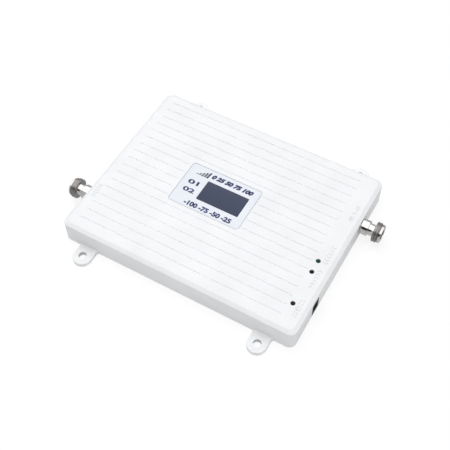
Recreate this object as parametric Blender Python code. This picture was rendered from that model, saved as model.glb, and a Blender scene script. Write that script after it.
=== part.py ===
"""Cellular signal booster: a flat die-cast box with a jack at each end.

Units are metres, +Z is up and the box rests on its bottom cover at z = 0.
+X runs along the long side, towards the end with the indoor antenna jack and the
power inlet.  The origin is under the middle of the box.
"""

import math

import bmesh
import bpy
from mathutils import Matrix, Vector

MM = 0.001

# ---- driving dimensions -------------------------------------------------------

BODY_LENGTH = 194.0 * MM
BODY_WIDTH = 153.0 * MM
BODY_HEIGHT = 20.0 * MM
WALL = 3.0 * MM
ROOF = 2.5 * MM
FIT_GAP = 0.3 * MM
CORNER_RADIUS = 5.5 * MM
TOP_CORNER_RADIUS = 4.0 * MM
TOP_CHAMFER_WIDTH = 3.1 * MM
TOP_CHAMFER_HEIGHT = 1.8 * MM
FOOT_CHAMFER = 0.4 * MM

CORNER_STEPS = 6
ROUND_STEPS = 32
MEDIUM_ROUND_STEPS = 24
SMALL_ROUND_STEPS = 16
WINDOW_CORNER_STEPS = 2
SMALL_CORNER_STEPS = 2

HALF_LENGTH = BODY_LENGTH / 2
HALF_WIDTH = BODY_WIDTH / 2
CEILING = BODY_HEIGHT - ROOF
OVERRUN = 1.0 * MM

# ---- roof: cooling grooves, label, display window, lamps ------------------------

GROOVE_COUNT = 17
GROOVE_PITCH = 8.25 * MM
GROOVE_CENTRE_Y = 0.95 * MM
GROOVE_WIDTH = 0.9 * MM
GROOVE_DEPTH = 0.5 * MM
GROOVE_END_RADIUS = 0.4 * MM
GROOVE_LEFT = -87.5 * MM
GROOVE_RIGHT = 80.7 * MM
GROOVE_TO_LABEL = 2.4 * MM

LABEL_SIZE = (60.3 * MM, 39.8 * MM)
LABEL_CENTRE = (-9.5 * MM, 1.2 * MM)
LABEL_THICKNESS = 0.5 * MM
LABEL_RADIUS = 2.5 * MM
LABEL_RECESS = LABEL_THICKNESS + FIT_GAP

WINDOW_SIZE = (35.3 * MM, 18.6 * MM)
WINDOW_CENTRE = (-3.0 * MM, 0.9 * MM)
WINDOW_RADIUS = 0.6 * MM
LENS_THICKNESS = 1.9 * MM
LENS_SINK = 0.1 * MM

LAMP_X = 84.4 * MM
LAMP_Y = {"downlink_led": -13.8 * MM, "uplink_led": -24.2 * MM, "power_led": -53.7 * MM}
LAMP_RADIUS = 1.5 * MM
LAMP_FLANGE_RADIUS = 1.9 * MM
LAMP_FLANGE_HEIGHT = 1.0 * MM
LAMP_TOP = BODY_HEIGHT - 0.2 * MM
LAMP_DOME_HEIGHT = 0.9 * MM

# ---- fixing ears -------------------------------------------------------------

EAR_X = 73.9 * MM
EAR_HOLE_Y = 85.5 * MM
EAR_ROUND_Y = 86.0 * MM
EAR_HALF_WIDTH = 7.3 * MM
EAR_ROOT_FLARE = 2.0 * MM
EAR_THICKNESS = 3.5 * MM
EAR_HOLE_RADIUS = 3.05 * MM
EAR_BOSS_RADIUS = 5.2 * MM
EAR_BOSS_RISE = 0.4 * MM

# ---- bottom cover and its screws ------------------------------------------------

COVER_THICKNESS = 1.2 * MM
COVER_LEDGE = 1.2 * MM
COVER_INSET = WALL - COVER_LEDGE
BOSS_RADIUS = 4.8 * MM
COVER_SCREW_PLACES = [
    (-90.0 * MM, -69.5 * MM),
    (0.0, -71.0 * MM),
    (90.0 * MM, -69.5 * MM),
    (90.0 * MM, 69.5 * MM),
    (0.0, 71.0 * MM),
    (-90.0 * MM, 69.5 * MM),
]
SCREW_RADIUS = 1.2 * MM
SCREW_HOLE_RADIUS = SCREW_RADIUS + FIT_GAP
COVER_SCREW_HEAD_RADIUS = 2.6 * MM
COVER_SCREW_LENGTH = 9.0 * MM
COVER_SCREW_SINK = 0.1 * MM
COVER_SCREW_CONE = COVER_SCREW_HEAD_RADIUS - SCREW_RADIUS
DRIVER_SLOT_LENGTH = 2.6 * MM
DRIVER_SLOT_WIDTH = 0.7 * MM
DRIVER_SLOT_DEPTH = 0.8 * MM

# ---- main board ------------------------------------------------------------------

BOARD_BOTTOM = 11.7 * MM
BOARD_THICKNESS = 1.6 * MM
BOARD_TOP = BOARD_BOTTOM + BOARD_THICKNESS
BOARD_LENGTH = 174.8 * MM
BOARD_WIDTH = 131.0 * MM
BOARD_CORNER_CUT = 3.0 * MM
BOARD_HOLE_RADIUS = 1.6 * MM
BOARD_SCREW_PLACES = [
    (-80.0 * MM, -58.0 * MM),
    (72.0 * MM, -59.0 * MM),
    (80.0 * MM, 58.0 * MM),
    (-80.0 * MM, 58.0 * MM),
    (32.0 * MM, 38.0 * MM),
]
BOARD_BOSS_RADIUS = 3.2 * MM
BOARD_SCREW_HEAD_RADIUS = 2.7 * MM
BOARD_SCREW_HEAD_HEIGHT = 1.8 * MM
BOARD_SCREW_LENGTH = 5.6 * MM
UNDER_BOARD = BOARD_BOTTOM - FIT_GAP
OVER_BOARD = BOARD_TOP + FIT_GAP

# ---- display behind the window ------------------------------------------------------

PANEL_SIZE = (40.0 * MM, 24.0 * MM)
PANEL_THICKNESS = 1.6 * MM
FRAME_BORDER = 2.0 * MM
FRAME_HEIGHT = 3.6 * MM
FRAME_LEDGE_HEIGHT = 1.7 * MM
FRAME_LEDGE = 3.0 * MM
FRAME_RADIUS = 1.0 * MM
HEADER_SIZE = (22.0 * MM, 3.0 * MM, 1.4 * MM)

# ---- antenna jacks --------------------------------------------------------------------

JACK_Z = 10.7 * MM
OUTDOOR_JACK_Y = -39.0 * MM
INDOOR_JACK_Y = 36.4 * MM
JACK_BASE_RADIUS = 5.95 * MM
JACK_BASE_LENGTH = 6.0 * MM
JACK_NECK_RADIUS = 4.6 * MM
JACK_RING_START = 10.6 * MM
JACK_RING_END = 14.2 * MM
JACK_RING_RADIUS = 7.9 * MM
JACK_GROOVE_END = 14.8 * MM
JACK_GROOVE_RADIUS = 6.9 * MM
JACK_LIP_RADIUS = 7.2 * MM
JACK_LENGTH = 16.8 * MM
JACK_EDGE = 0.4 * MM
JACK_MOUTH_RADIUS = 4.3 * MM
JACK_MOUTH_DEPTH = 4.9 * MM
JACK_BORE_RADIUS = 3.45 * MM
JACK_SHANK_RADIUS = 4.7 * MM
JACK_SHANK_LENGTH = 9.0 * MM
JACK_HOLE_RADIUS = JACK_SHANK_RADIUS + FIT_GAP
WASHER_RADIUS = 6.2 * MM
WASHER_THICKNESS = 0.8 * MM
NUT_ACROSS_FLATS = 12.5 * MM
NUT_THICKNESS = 3.0 * MM
INSULATOR_BORE_RADIUS = 1.8 * MM
CONTACT_RADIUS = 1.5 * MM
CONTACT_SOCKET_RADIUS = 0.8 * MM
CONTACT_SOCKET_DEPTH = 4.0 * MM
CONTACT_FRONT = 14.6 * MM
CONTACT_TAIL_RADIUS = 0.6 * MM
CONTACT_TAIL_END = 18.0 * MM
CONTACT_SLIT = 0.3 * MM
CONTACT_SLIT_DEPTH = 2.8 * MM

# ---- power inlet -------------------------------------------------------------------------

INLET_Y = -41.7 * MM
INLET_WIDTH = 10.0 * MM
INLET_LENGTH = 14.0 * MM
INLET_FACE_X = HALF_LENGTH - 0.1 * MM
INLET_BOTTOM = 1.6 * MM
INLET_TOP = 14.6 * MM
INLET_BORE_Z = 7.6 * MM
INLET_BORE_RADIUS = 3.1 * MM
INLET_BORE_DEPTH = 10.0 * MM
INLET_PIN_RADIUS = 1.0 * MM
INLET_PIN_RECESS = 1.0 * MM

# ---- parts soldered under the board: centre x, centre y, length, width, height ------------

BLOCKS_UNDER_BOARD = {
    "outdoor_duplexer": (-66.0 * MM, OUTDOOR_JACK_Y, 22.0 * MM, 14.0 * MM, 6.0 * MM, "ceramic_filter"),
    "indoor_duplexer": (66.0 * MM, INDOOR_JACK_Y, 22.0 * MM, 14.0 * MM, 6.0 * MM, "ceramic_filter"),
    "uplink_amplifier": (-48.0 * MM, 34.0 * MM, 10.0 * MM, 10.0 * MM, 1.4 * MM, "chip_black"),
    "uplink_preamp": (-18.0 * MM, 34.0 * MM, 6.0 * MM, 6.0 * MM, 1.2 * MM, "chip_black"),
    "downlink_amplifier": (4.0 * MM, -36.0 * MM, 10.0 * MM, 10.0 * MM, 1.4 * MM, "chip_black"),
    "downlink_preamp": (-28.0 * MM, -36.0 * MM, 6.0 * MM, 6.0 * MM, 1.2 * MM, "chip_black"),
    "controller_chip": (46.0 * MM, 4.0 * MM, 14.0 * MM, 14.0 * MM, 1.4 * MM, "chip_black"),
    "regulator_chip": (66.0 * MM, -2.0 * MM, 10.0 * MM, 9.0 * MM, 4.4 * MM, "chip_black"),
    "power_inductor": (66.0 * MM, -22.0 * MM, 12.0 * MM, 12.0 * MM, 6.0 * MM, "ferrite_grey"),
}
SHIELD_CANS = {
    "uplink_shield_can": (-34.0 * MM, 34.0 * MM),
    "downlink_shield_can": (-10.0 * MM, -36.0 * MM),
}
SHIELD_LENGTH = 62.0 * MM
SHIELD_WIDTH = 36.0 * MM
SHIELD_HEIGHT = 5.0 * MM
SHIELD_WALL = 0.6 * MM
SHIELD_RADIUS = 1.5 * MM
BLOCK_EDGE_RADIUS = 0.6 * MM
CAPACITOR_PLACES = [(48.0 * MM, -50.0 * MM), (60.0 * MM, -50.0 * MM)]
CAPACITOR_RADIUS = 4.0 * MM
CAPACITOR_HEIGHT = 8.5 * MM
CAPACITOR_WAIST = 0.4 * MM
CAPACITOR_WAIST_DROP = 1.8 * MM
THERMAL_PAD_SIZE = 22.0 * MM
THERMAL_PAD_RADIUS = 1.0 * MM
THERMAL_PAD_OWNERS = ["uplink_amplifier", "downlink_amplifier"]

# colour (linear), roughness, metallic
MATERIALS = {
    "white_paint": ((0.86, 0.87, 0.89, 1.0), 0.45, 0.0),
    "label_print": ((0.80, 0.83, 0.88, 1.0), 0.35, 0.0),
    "lens_smoke": ((0.075, 0.085, 0.15, 1.0), 0.12, 0.0),
    "display_glass": ((0.03, 0.035, 0.06, 1.0), 0.10, 0.0),
    "black_plastic": ((0.012, 0.012, 0.014, 1.0), 0.40, 0.0),
    "green_lens": ((0.0, 0.10, 0.05, 1.0), 0.20, 0.0),
    "dark_lens": ((0.008, 0.010, 0.012, 1.0), 0.20, 0.0),
    "red_lens": ((0.07, 0.008, 0.012, 1.0), 0.20, 0.0),
    "nickel": ((0.60, 0.58, 0.55, 1.0), 0.22, 1.0),
    "gold": ((0.80, 0.55, 0.20, 1.0), 0.25, 1.0),
    "white_insulator": ((0.80, 0.80, 0.78, 1.0), 0.40, 0.0),
    "steel_screw": ((0.45, 0.45, 0.46, 1.0), 0.35, 1.0),
    "cover_aluminium": ((0.62, 0.63, 0.64, 1.0), 0.45, 1.0),
    "board_green": ((0.01, 0.12, 0.05, 1.0), 0.35, 0.0),
    "tinned_can": ((0.60, 0.60, 0.58, 1.0), 0.30, 1.0),
    "chip_black": ((0.02, 0.02, 0.02, 1.0), 0.50, 0.0),
    "ceramic_filter": ((0.55, 0.53, 0.48, 1.0), 0.30, 0.0),
    "ferrite_grey": ((0.08, 0.08, 0.09, 1.0), 0.55, 0.0),
    "capacitor_can": ((0.55, 0.56, 0.60, 1.0), 0.30, 1.0),
    "thermal_pad": ((0.25, 0.35, 0.45, 1.0), 0.80, 0.0),
}


# ---- scene, materials and objects ----------------------------------------------------

def clear_scene():
    """Remove every object that the file starts with."""
    for old in list(bpy.data.objects):
        bpy.data.objects.remove(old, do_unlink=True)


def get_material(name):
    """Return the named Principled material, made on first use."""
    material = bpy.data.materials.get(name)
    if material is None:
        colour, roughness, metallic = MATERIALS[name]
        material = bpy.data.materials.new(name)
        material.use_nodes = True
        shader = material.node_tree.nodes["Principled BSDF"]
        shader.inputs["Base Color"].default_value = colour
        shader.inputs["Roughness"].default_value = roughness
        shader.inputs["Metallic"].default_value = metallic
    return material


def add_object(name, mesh, material_name=None):
    """Link a mesh to the scene as a named object."""
    thing = bpy.data.objects.new(name, mesh)
    bpy.context.scene.collection.objects.link(thing)
    if material_name:
        mesh.materials.append(get_material(material_name))
    return thing


def add_tool(name, mesh):
    """Add a cutter or filler that only serves a Boolean modifier."""
    tool = add_object(name, mesh)
    tool.hide_render = True
    tool.display_type = "WIRE"
    return tool


def add_boolean(target, tool, operation):
    """Cut the tool from the target, or join it on."""
    modifier = target.modifiers.new(tool.name, "BOOLEAN")
    modifier.operation = operation
    modifier.solver = "EXACT"
    modifier.object = tool


def shade_round(thing, angle=math.radians(35)):
    """Shade a round piece smooth, with its edges kept sharp."""
    thing.data.shade_smooth()
    thing.data.set_sharp_from_angle(angle=angle)


def to_mesh(name, work):
    """Turn a bmesh into a mesh with all its faces pointing out."""
    bmesh.ops.recalc_face_normals(work, faces=work.faces[:])
    mesh = bpy.data.meshes.new(name)
    work.to_mesh(mesh)
    work.free()
    return mesh


# ---- outlines in the XY plane, counter-clockwise -------------------------------------

def arc(centre, radius, start, end, steps):
    """Points of an arc between two angles in degrees, both ends included."""
    points = []
    for step in range(steps + 1):
        angle = math.radians(start + (end - start) * step / steps)
        points.append((centre[0] + radius * math.cos(angle), centre[1] + radius * math.sin(angle)))
    return points


def circle(centre, radius, steps):
    """Points of a whole circle."""
    return arc(centre, radius, 0, 360, steps)[:-1]


def rounded_rectangle(length, width, radius, centre=(0.0, 0.0), steps=CORNER_STEPS):
    """Outline of a rectangle with round corners."""
    reach_x = length / 2 - radius
    reach_y = width / 2 - radius
    outline = []
    for quarter, (side_x, side_y) in enumerate([(1, 1), (-1, 1), (-1, -1), (1, -1)]):
        corner = (centre[0] + side_x * reach_x, centre[1] + side_y * reach_y)
        outline += arc(corner, radius, quarter * 90, quarter * 90 + 90, steps)
    return outline


def rectangle(length, width, centre=(0.0, 0.0)):
    """Outline of a plain rectangle."""
    signs = [(1, 1), (-1, 1), (-1, -1), (1, -1)]
    return [(centre[0] + sx * length / 2, centre[1] + sy * width / 2) for sx, sy in signs]


def body_outline(inset, corner_radius=None):
    """The box's outline seen from above, moved inwards by inset."""
    if corner_radius is None:
        corner_radius = CORNER_RADIUS - inset
    return rounded_rectangle(BODY_LENGTH - 2 * inset, BODY_WIDTH - 2 * inset, corner_radius)


def window_outline(margin):
    """Outline of the display window, widened by margin on every side."""
    length = WINDOW_SIZE[0] + 2 * margin
    width = WINDOW_SIZE[1] + 2 * margin
    return rounded_rectangle(length, width, WINDOW_RADIUS, WINDOW_CENTRE, WINDOW_CORNER_STEPS)


def ear_outline(x, side):
    """Outline of one fixing ear, flared where it leaves the long wall."""
    root_y = HALF_WIDTH - WALL / 2
    wall_y = HALF_WIDTH
    flare = EAR_ROOT_FLARE
    half = EAR_HALF_WIDTH
    right_flare = arc((half + flare, wall_y + flare), flare, 270, 180, 4)
    tip = arc((0.0, EAR_ROUND_Y), half, 0, 180, 2 * CORNER_STEPS)
    left_flare = arc((-half - flare, wall_y + flare), flare, 0, -90, 4)
    outline = [(half + flare, root_y)] + right_flare + tip + left_flare + [(-half - flare, root_y)]
    return [(x + px, side * py) for px, py in outline]


# ---- solids -----------------------------------------------------------------------------

def loft(name, sections):
    """Closed solid through outlines of equal length, given as (outline, z)."""
    work = bmesh.new()
    rings = []
    for outline, z in sections:
        rings.append([work.verts.new((x, y, z)) for x, y in outline])
    for lower, upper in zip(rings, rings[1:]):
        for index in range(len(lower)):
            after = (index + 1) % len(lower)
            work.faces.new((lower[index], lower[after], upper[after], upper[index]))
    work.faces.new(list(reversed(rings[0])))
    work.faces.new(rings[-1])
    return to_mesh(name, work)


def prism(name, outlines, bottom, top):
    """One mesh of upright solids that share their bottom and top heights."""
    work = bmesh.new()
    for outline in outlines:
        base = work.faces.new([work.verts.new((x, y, bottom)) for x, y in outline])
        grown = bmesh.ops.extrude_face_region(work, geom=[base])
        raised = [item for item in grown["geom"] if isinstance(item, bmesh.types.BMVert)]
        bmesh.ops.translate(work, verts=raised, vec=Vector((0.0, 0.0, top - bottom)))
    return to_mesh(name, work)


def turned(name, profile, steps=ROUND_STEPS):
    """Solid of revolution about Z from a closed profile of (radius, height) points."""
    work = bmesh.new()
    verts = [work.verts.new((radius, 0.0, height)) for radius, height in profile]
    edges = []
    for index, vert in enumerate(verts):
        after = verts[(index + 1) % len(verts)]
        edges.append(work.edges.new((vert, after)))
    bmesh.ops.spin(
        work,
        geom=verts + edges,
        cent=(0.0, 0.0, 0.0),
        axis=(0.0, 0.0, 1.0),
        angle=math.tau,
        steps=steps,
        use_merge=True,
    )
    bmesh.ops.remove_doubles(work, verts=work.verts[:], dist=0.001 * MM)
    on_axis = [edge for edge in work.edges if not edge.link_faces]
    bmesh.ops.delete(work, geom=on_axis, context="EDGES")
    return to_mesh(name, work)


def cross_slots(name, length, width, bottom, top):
    """Driver recess of a screw head: two crossed slots as one plus-shaped solid."""
    far = length / 2
    near = width / 2
    outline = [(far, -near), (far, near), (near, near), (near, far), (-near, far), (-near, near)]
    outline += [(-x, -y) for x, y in outline]
    return prism(name, [outline], bottom, top)


# ---- housing --------------------------------------------------------------------------------

def groove_outlines():
    """Outlines of the cooling grooves, broken where the label lies."""
    label_left = LABEL_CENTRE[0] - LABEL_SIZE[0] / 2 - GROOVE_TO_LABEL
    label_right = LABEL_CENTRE[0] + LABEL_SIZE[0] / 2 + GROOVE_TO_LABEL
    reach = LABEL_SIZE[1] / 2 + GROOVE_WIDTH
    outlines = []
    for row in range(GROOVE_COUNT):
        y = GROOVE_CENTRE_Y + (row - (GROOVE_COUNT - 1) / 2) * GROOVE_PITCH
        runs = [(GROOVE_LEFT, GROOVE_RIGHT)]
        if abs(y - LABEL_CENTRE[1]) < reach:
            runs = [(GROOVE_LEFT, label_left), (label_right, GROOVE_RIGHT)]
        for start, end in runs:
            middle = ((start + end) / 2, y)
            outlines.append(rounded_rectangle(end - start, GROOVE_WIDTH, GROOVE_END_RADIUS, middle, 1))
    return outlines


def housing_bosses(housing):
    """Screw bosses that hang from the roof, fused to the housing."""
    cover_bosses = [circle(place, BOSS_RADIUS, SMALL_ROUND_STEPS) for place in COVER_SCREW_PLACES]
    mesh = prism("cover_boss_fill", cover_bosses, COVER_THICKNESS, CEILING + ROOF / 2)
    add_boolean(housing, add_tool("cover_boss_fill", mesh), "UNION")
    board_bosses = [circle(place, BOARD_BOSS_RADIUS, SMALL_ROUND_STEPS) for place in BOARD_SCREW_PLACES]
    mesh = prism("board_boss_fill", board_bosses, OVER_BOARD, CEILING + ROOF / 2)
    add_boolean(housing, add_tool("board_boss_fill", mesh), "UNION")


def housing_ears(housing):
    """Four fixing ears at the foot of the long walls, each with a raised seat."""
    outlines = []
    seats = []
    holes = []
    for x in (-EAR_X, EAR_X):
        for side in (-1, 1):
            outlines.append(ear_outline(x, side))
            seats.append(circle((x, side * EAR_HOLE_Y), EAR_BOSS_RADIUS, MEDIUM_ROUND_STEPS))
            holes.append(circle((x, side * EAR_HOLE_Y), EAR_HOLE_RADIUS, MEDIUM_ROUND_STEPS))
    mesh = prism("ear_fill", outlines, 0.0, EAR_THICKNESS)
    add_boolean(housing, add_tool("ear_fill", mesh), "UNION")
    mesh = prism("ear_seat_fill", seats, EAR_THICKNESS / 2, EAR_THICKNESS + EAR_BOSS_RISE)
    add_boolean(housing, add_tool("ear_seat_fill", mesh), "UNION")
    mesh = prism("ear_hole_cut", holes, -OVERRUN, EAR_THICKNESS + OVERRUN)
    add_boolean(housing, add_tool("ear_hole_cut", mesh), "DIFFERENCE")


def housing_openings(housing):
    """Screw holes, window, lamp holes, jack holes and the power inlet's hole."""
    cover_holes = [circle(place, SCREW_HOLE_RADIUS, SMALL_ROUND_STEPS) for place in COVER_SCREW_PLACES]
    mesh = prism("cover_hole_cut", cover_holes, 0.0, COVER_SCREW_LENGTH + 2 * OVERRUN)
    add_boolean(housing, add_tool("cover_hole_cut", mesh), "DIFFERENCE")
    board_holes = [circle(place, SCREW_HOLE_RADIUS, SMALL_ROUND_STEPS) for place in BOARD_SCREW_PLACES]
    mesh = prism("board_hole_cut", board_holes, BOARD_TOP, CEILING + FIT_GAP)
    add_boolean(housing, add_tool("board_hole_cut", mesh), "DIFFERENCE")

    window = window_outline(FIT_GAP)
    lamp_holes = [circle((LAMP_X, y), LAMP_RADIUS + FIT_GAP, SMALL_ROUND_STEPS) for y in LAMP_Y.values()]
    mesh = prism("roof_hole_cut", [window] + lamp_holes, CEILING - OVERRUN, BODY_HEIGHT + OVERRUN)
    add_boolean(housing, add_tool("roof_hole_cut", mesh), "DIFFERENCE")

    for name, side, y in (("outdoor_hole_cut", -1, OUTDOOR_JACK_Y), ("indoor_hole_cut", 1, INDOOR_JACK_Y)):
        mesh = prism(name, [circle((0.0, 0.0), JACK_HOLE_RADIUS, ROUND_STEPS)], -WALL, WALL)
        tool = add_tool(name, mesh)
        tool.matrix_world = end_wall_matrix(side, y)
        add_boolean(housing, tool, "DIFFERENCE")

    opening = rectangle(4 * WALL, INLET_WIDTH + 2 * FIT_GAP, (HALF_LENGTH, INLET_Y))
    mesh = prism("inlet_cut", [opening], INLET_BOTTOM - FIT_GAP, INLET_TOP + FIT_GAP)
    add_boolean(housing, add_tool("inlet_cut", mesh), "DIFFERENCE")


def build_housing():
    """Die-cast box, open below, with grooved roof, ears, bosses and openings."""
    sections = [
        (body_outline(FOOT_CHAMFER), 0.0),
        (body_outline(0.0), FOOT_CHAMFER),
        (body_outline(0.0), BODY_HEIGHT - TOP_CHAMFER_HEIGHT),
        (body_outline(TOP_CHAMFER_WIDTH, TOP_CORNER_RADIUS), BODY_HEIGHT),
    ]
    housing = add_object("housing_shell", loft("housing_shell", sections), "white_paint")

    cavity = prism("cavity_cut", [body_outline(WALL)], -OVERRUN, CEILING)
    add_boolean(housing, add_tool("cavity_cut", cavity), "DIFFERENCE")
    housing_bosses(housing)
    rebate = prism("rebate_cut", [body_outline(COVER_INSET)], -OVERRUN, COVER_THICKNESS + FIT_GAP)
    add_boolean(housing, add_tool("rebate_cut", rebate), "DIFFERENCE")
    housing_ears(housing)

    label_bed = rounded_rectangle(
        LABEL_SIZE[0] + 2 * FIT_GAP, LABEL_SIZE[1] + 2 * FIT_GAP, LABEL_RADIUS, LABEL_CENTRE
    )
    bed = prism("label_bed_cut", [label_bed], BODY_HEIGHT - LABEL_RECESS, BODY_HEIGHT + OVERRUN)
    add_boolean(housing, add_tool("label_bed_cut", bed), "DIFFERENCE")
    grooves = prism("groove_cut", groove_outlines(), BODY_HEIGHT - GROOVE_DEPTH, BODY_HEIGHT + OVERRUN)
    add_boolean(housing, add_tool("groove_cut", grooves), "DIFFERENCE")
    housing_openings(housing)


# ---- bottom cover and screws ------------------------------------------------------------------

def build_bottom_cover():
    """Flat plate let into the housing's rim, with countersunk screw holes."""
    outline = body_outline(COVER_INSET + FIT_GAP)
    mesh = prism("bottom_cover", [outline], 0.0, COVER_THICKNESS)
    cover = add_object("bottom_cover", mesh, "cover_aluminium")
    head = COVER_SCREW_HEAD_RADIUS + FIT_GAP
    shank = SCREW_HOLE_RADIUS
    profile = [(0.0, -OVERRUN), (head, -OVERRUN), (head, COVER_SCREW_SINK)]
    profile += [(shank, COVER_SCREW_SINK + head - shank), (shank, 3 * OVERRUN), (0.0, 3 * OVERRUN)]
    for number, place in enumerate(COVER_SCREW_PLACES, 1):
        name = f"countersink_cut_{number}"
        tool = add_tool(name, turned(name, profile, SMALL_ROUND_STEPS))
        tool.location = (place[0], place[1], 0.0)
        add_boolean(cover, tool, "DIFFERENCE")


def build_cover_screws():
    """Six countersunk screws that hold the bottom cover."""
    sink = COVER_SCREW_SINK
    neck = sink + COVER_SCREW_CONE
    profile = [(0.0, sink), (COVER_SCREW_HEAD_RADIUS, sink), (SCREW_RADIUS, neck)]
    profile += [(SCREW_RADIUS, COVER_SCREW_LENGTH), (0.0, COVER_SCREW_LENGTH)]
    for number, place in enumerate(COVER_SCREW_PLACES, 1):
        name = f"cover_screw_{number}"
        screw = add_object(name, turned(name, profile, SMALL_ROUND_STEPS), "steel_screw")
        screw.location = (place[0], place[1], 0.0)
        slots = cross_slots(name + "_cut", DRIVER_SLOT_LENGTH, DRIVER_SLOT_WIDTH, -OVERRUN, DRIVER_SLOT_DEPTH)
        tool = add_tool(name + "_cut", slots)
        tool.location = screw.location
        add_boolean(screw, tool, "DIFFERENCE")
        shade_round(screw)


# ---- main board ---------------------------------------------------------------------------------

def build_main_board():
    """Printed circuit board hung under the roof, with cut corners and screw holes."""
    far_x = BOARD_LENGTH / 2
    far_y = BOARD_WIDTH / 2
    cut = BOARD_CORNER_CUT
    outline = [(far_x, -far_y + cut), (far_x, far_y - cut), (far_x - cut, far_y), (-far_x + cut, far_y)]
    outline += [(-x, -y) for x, y in outline]
    board = add_object("main_board", prism("main_board", [outline], BOARD_BOTTOM, BOARD_TOP), "board_green")
    holes = [circle(place, BOARD_HOLE_RADIUS, SMALL_ROUND_STEPS) for place in BOARD_SCREW_PLACES]
    mesh = prism("board_cut", holes, BOARD_BOTTOM - OVERRUN, BOARD_TOP + OVERRUN)
    add_boolean(board, add_tool("board_cut", mesh), "DIFFERENCE")


def build_board_screws():
    """Pan-head screws that hold the board up against its bosses."""
    head_bottom = UNDER_BOARD - BOARD_SCREW_HEAD_HEIGHT
    edge = BOARD_SCREW_HEAD_HEIGHT / 3
    tip = UNDER_BOARD + BOARD_SCREW_LENGTH
    profile = [(0.0, head_bottom), (BOARD_SCREW_HEAD_RADIUS - edge, head_bottom)]
    profile += [(BOARD_SCREW_HEAD_RADIUS, head_bottom + edge), (BOARD_SCREW_HEAD_RADIUS, UNDER_BOARD)]
    profile += [(SCREW_RADIUS, UNDER_BOARD), (SCREW_RADIUS, tip), (0.0, tip)]
    for number, place in enumerate(BOARD_SCREW_PLACES, 1):
        name = f"board_screw_{number}"
        screw = add_object(name, turned(name, profile, SMALL_ROUND_STEPS), "steel_screw")
        screw.location = (place[0], place[1], 0.0)
        slots = cross_slots(
            name + "_cut",
            DRIVER_SLOT_LENGTH,
            DRIVER_SLOT_WIDTH,
            head_bottom - OVERRUN,
            head_bottom + DRIVER_SLOT_DEPTH,
        )
        tool = add_tool(name + "_cut", slots)
        tool.location = screw.location
        add_boolean(screw, tool, "DIFFERENCE")
        shade_round(screw)


def build_board_blocks():
    """Filters, chips and the power inductor soldered under the board."""
    for name, (x, y, length, width, height, material) in BLOCKS_UNDER_BOARD.items():
        outline = rounded_rectangle(length, width, BLOCK_EDGE_RADIUS, (x, y), SMALL_CORNER_STEPS)
        add_object(name, prism(name, [outline], UNDER_BOARD - height, UNDER_BOARD), material)


def build_shield_cans():
    """Tinned cans over the amplifier stages, open towards the board."""
    for name, place in SHIELD_CANS.items():
        bottom = UNDER_BOARD - SHIELD_HEIGHT
        outer = rounded_rectangle(SHIELD_LENGTH, SHIELD_WIDTH, SHIELD_RADIUS, place, SMALL_CORNER_STEPS)
        can = add_object(name, prism(name, [outer], bottom, UNDER_BOARD), "tinned_can")
        length = SHIELD_LENGTH - 2 * SHIELD_WALL
        width = SHIELD_WIDTH - 2 * SHIELD_WALL
        inside = rounded_rectangle(length, width, SHIELD_RADIUS - SHIELD_WALL, place, SMALL_CORNER_STEPS)
        mesh = prism(name + "_cut", [inside], bottom + SHIELD_WALL, UNDER_BOARD + OVERRUN)
        add_boolean(can, add_tool(name + "_cut", mesh), "DIFFERENCE")


def build_capacitors():
    """Round storage capacitors that hang from the board beside the power inlet."""
    radius = CAPACITOR_RADIUS
    waist = radius - CAPACITOR_WAIST
    top = UNDER_BOARD
    bottom = top - CAPACITOR_HEIGHT
    profile = [(0.0, bottom), (waist, bottom), (radius, bottom + CAPACITOR_WAIST)]
    waist_z = top - CAPACITOR_WAIST_DROP
    profile += [(radius, waist_z - CAPACITOR_WAIST), (waist, waist_z), (radius, waist_z + CAPACITOR_WAIST)]
    profile += [(radius, top), (0.0, top)]
    for number, place in enumerate(CAPACITOR_PLACES, 1):
        name = f"power_capacitor_{number}"
        can = add_object(name, turned(name, profile, MEDIUM_ROUND_STEPS), "capacitor_can")
        can.location = (place[0], place[1], 0.0)
        shade_round(can)


def build_thermal_pads():
    """Soft pads that carry the amplifiers' heat from the board to the roof."""
    for number, owner in enumerate(THERMAL_PAD_OWNERS, 1):
        place = BLOCKS_UNDER_BOARD[owner][:2]
        size = THERMAL_PAD_SIZE
        outline = rounded_rectangle(size, size, THERMAL_PAD_RADIUS, place, SMALL_CORNER_STEPS)
        name = f"thermal_pad_{number}"
        add_object(name, prism(name, [outline], OVER_BOARD, CEILING - FIT_GAP), "thermal_pad")


# ---- label, lens, display and lamps --------------------------------------------------------------

def build_label():
    """Printed overlay in its bed in the roof, with a hole for the lens."""
    outline = rounded_rectangle(LABEL_SIZE[0], LABEL_SIZE[1], LABEL_RADIUS, LABEL_CENTRE)
    bottom = BODY_HEIGHT - LABEL_THICKNESS
    label = add_object("overlay_label", prism("overlay_label", [outline], bottom, BODY_HEIGHT), "label_print")
    mesh = prism("label_cut", [window_outline(FIT_GAP)], bottom - OVERRUN, BODY_HEIGHT + OVERRUN)
    add_boolean(label, add_tool("label_cut", mesh), "DIFFERENCE")


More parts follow.
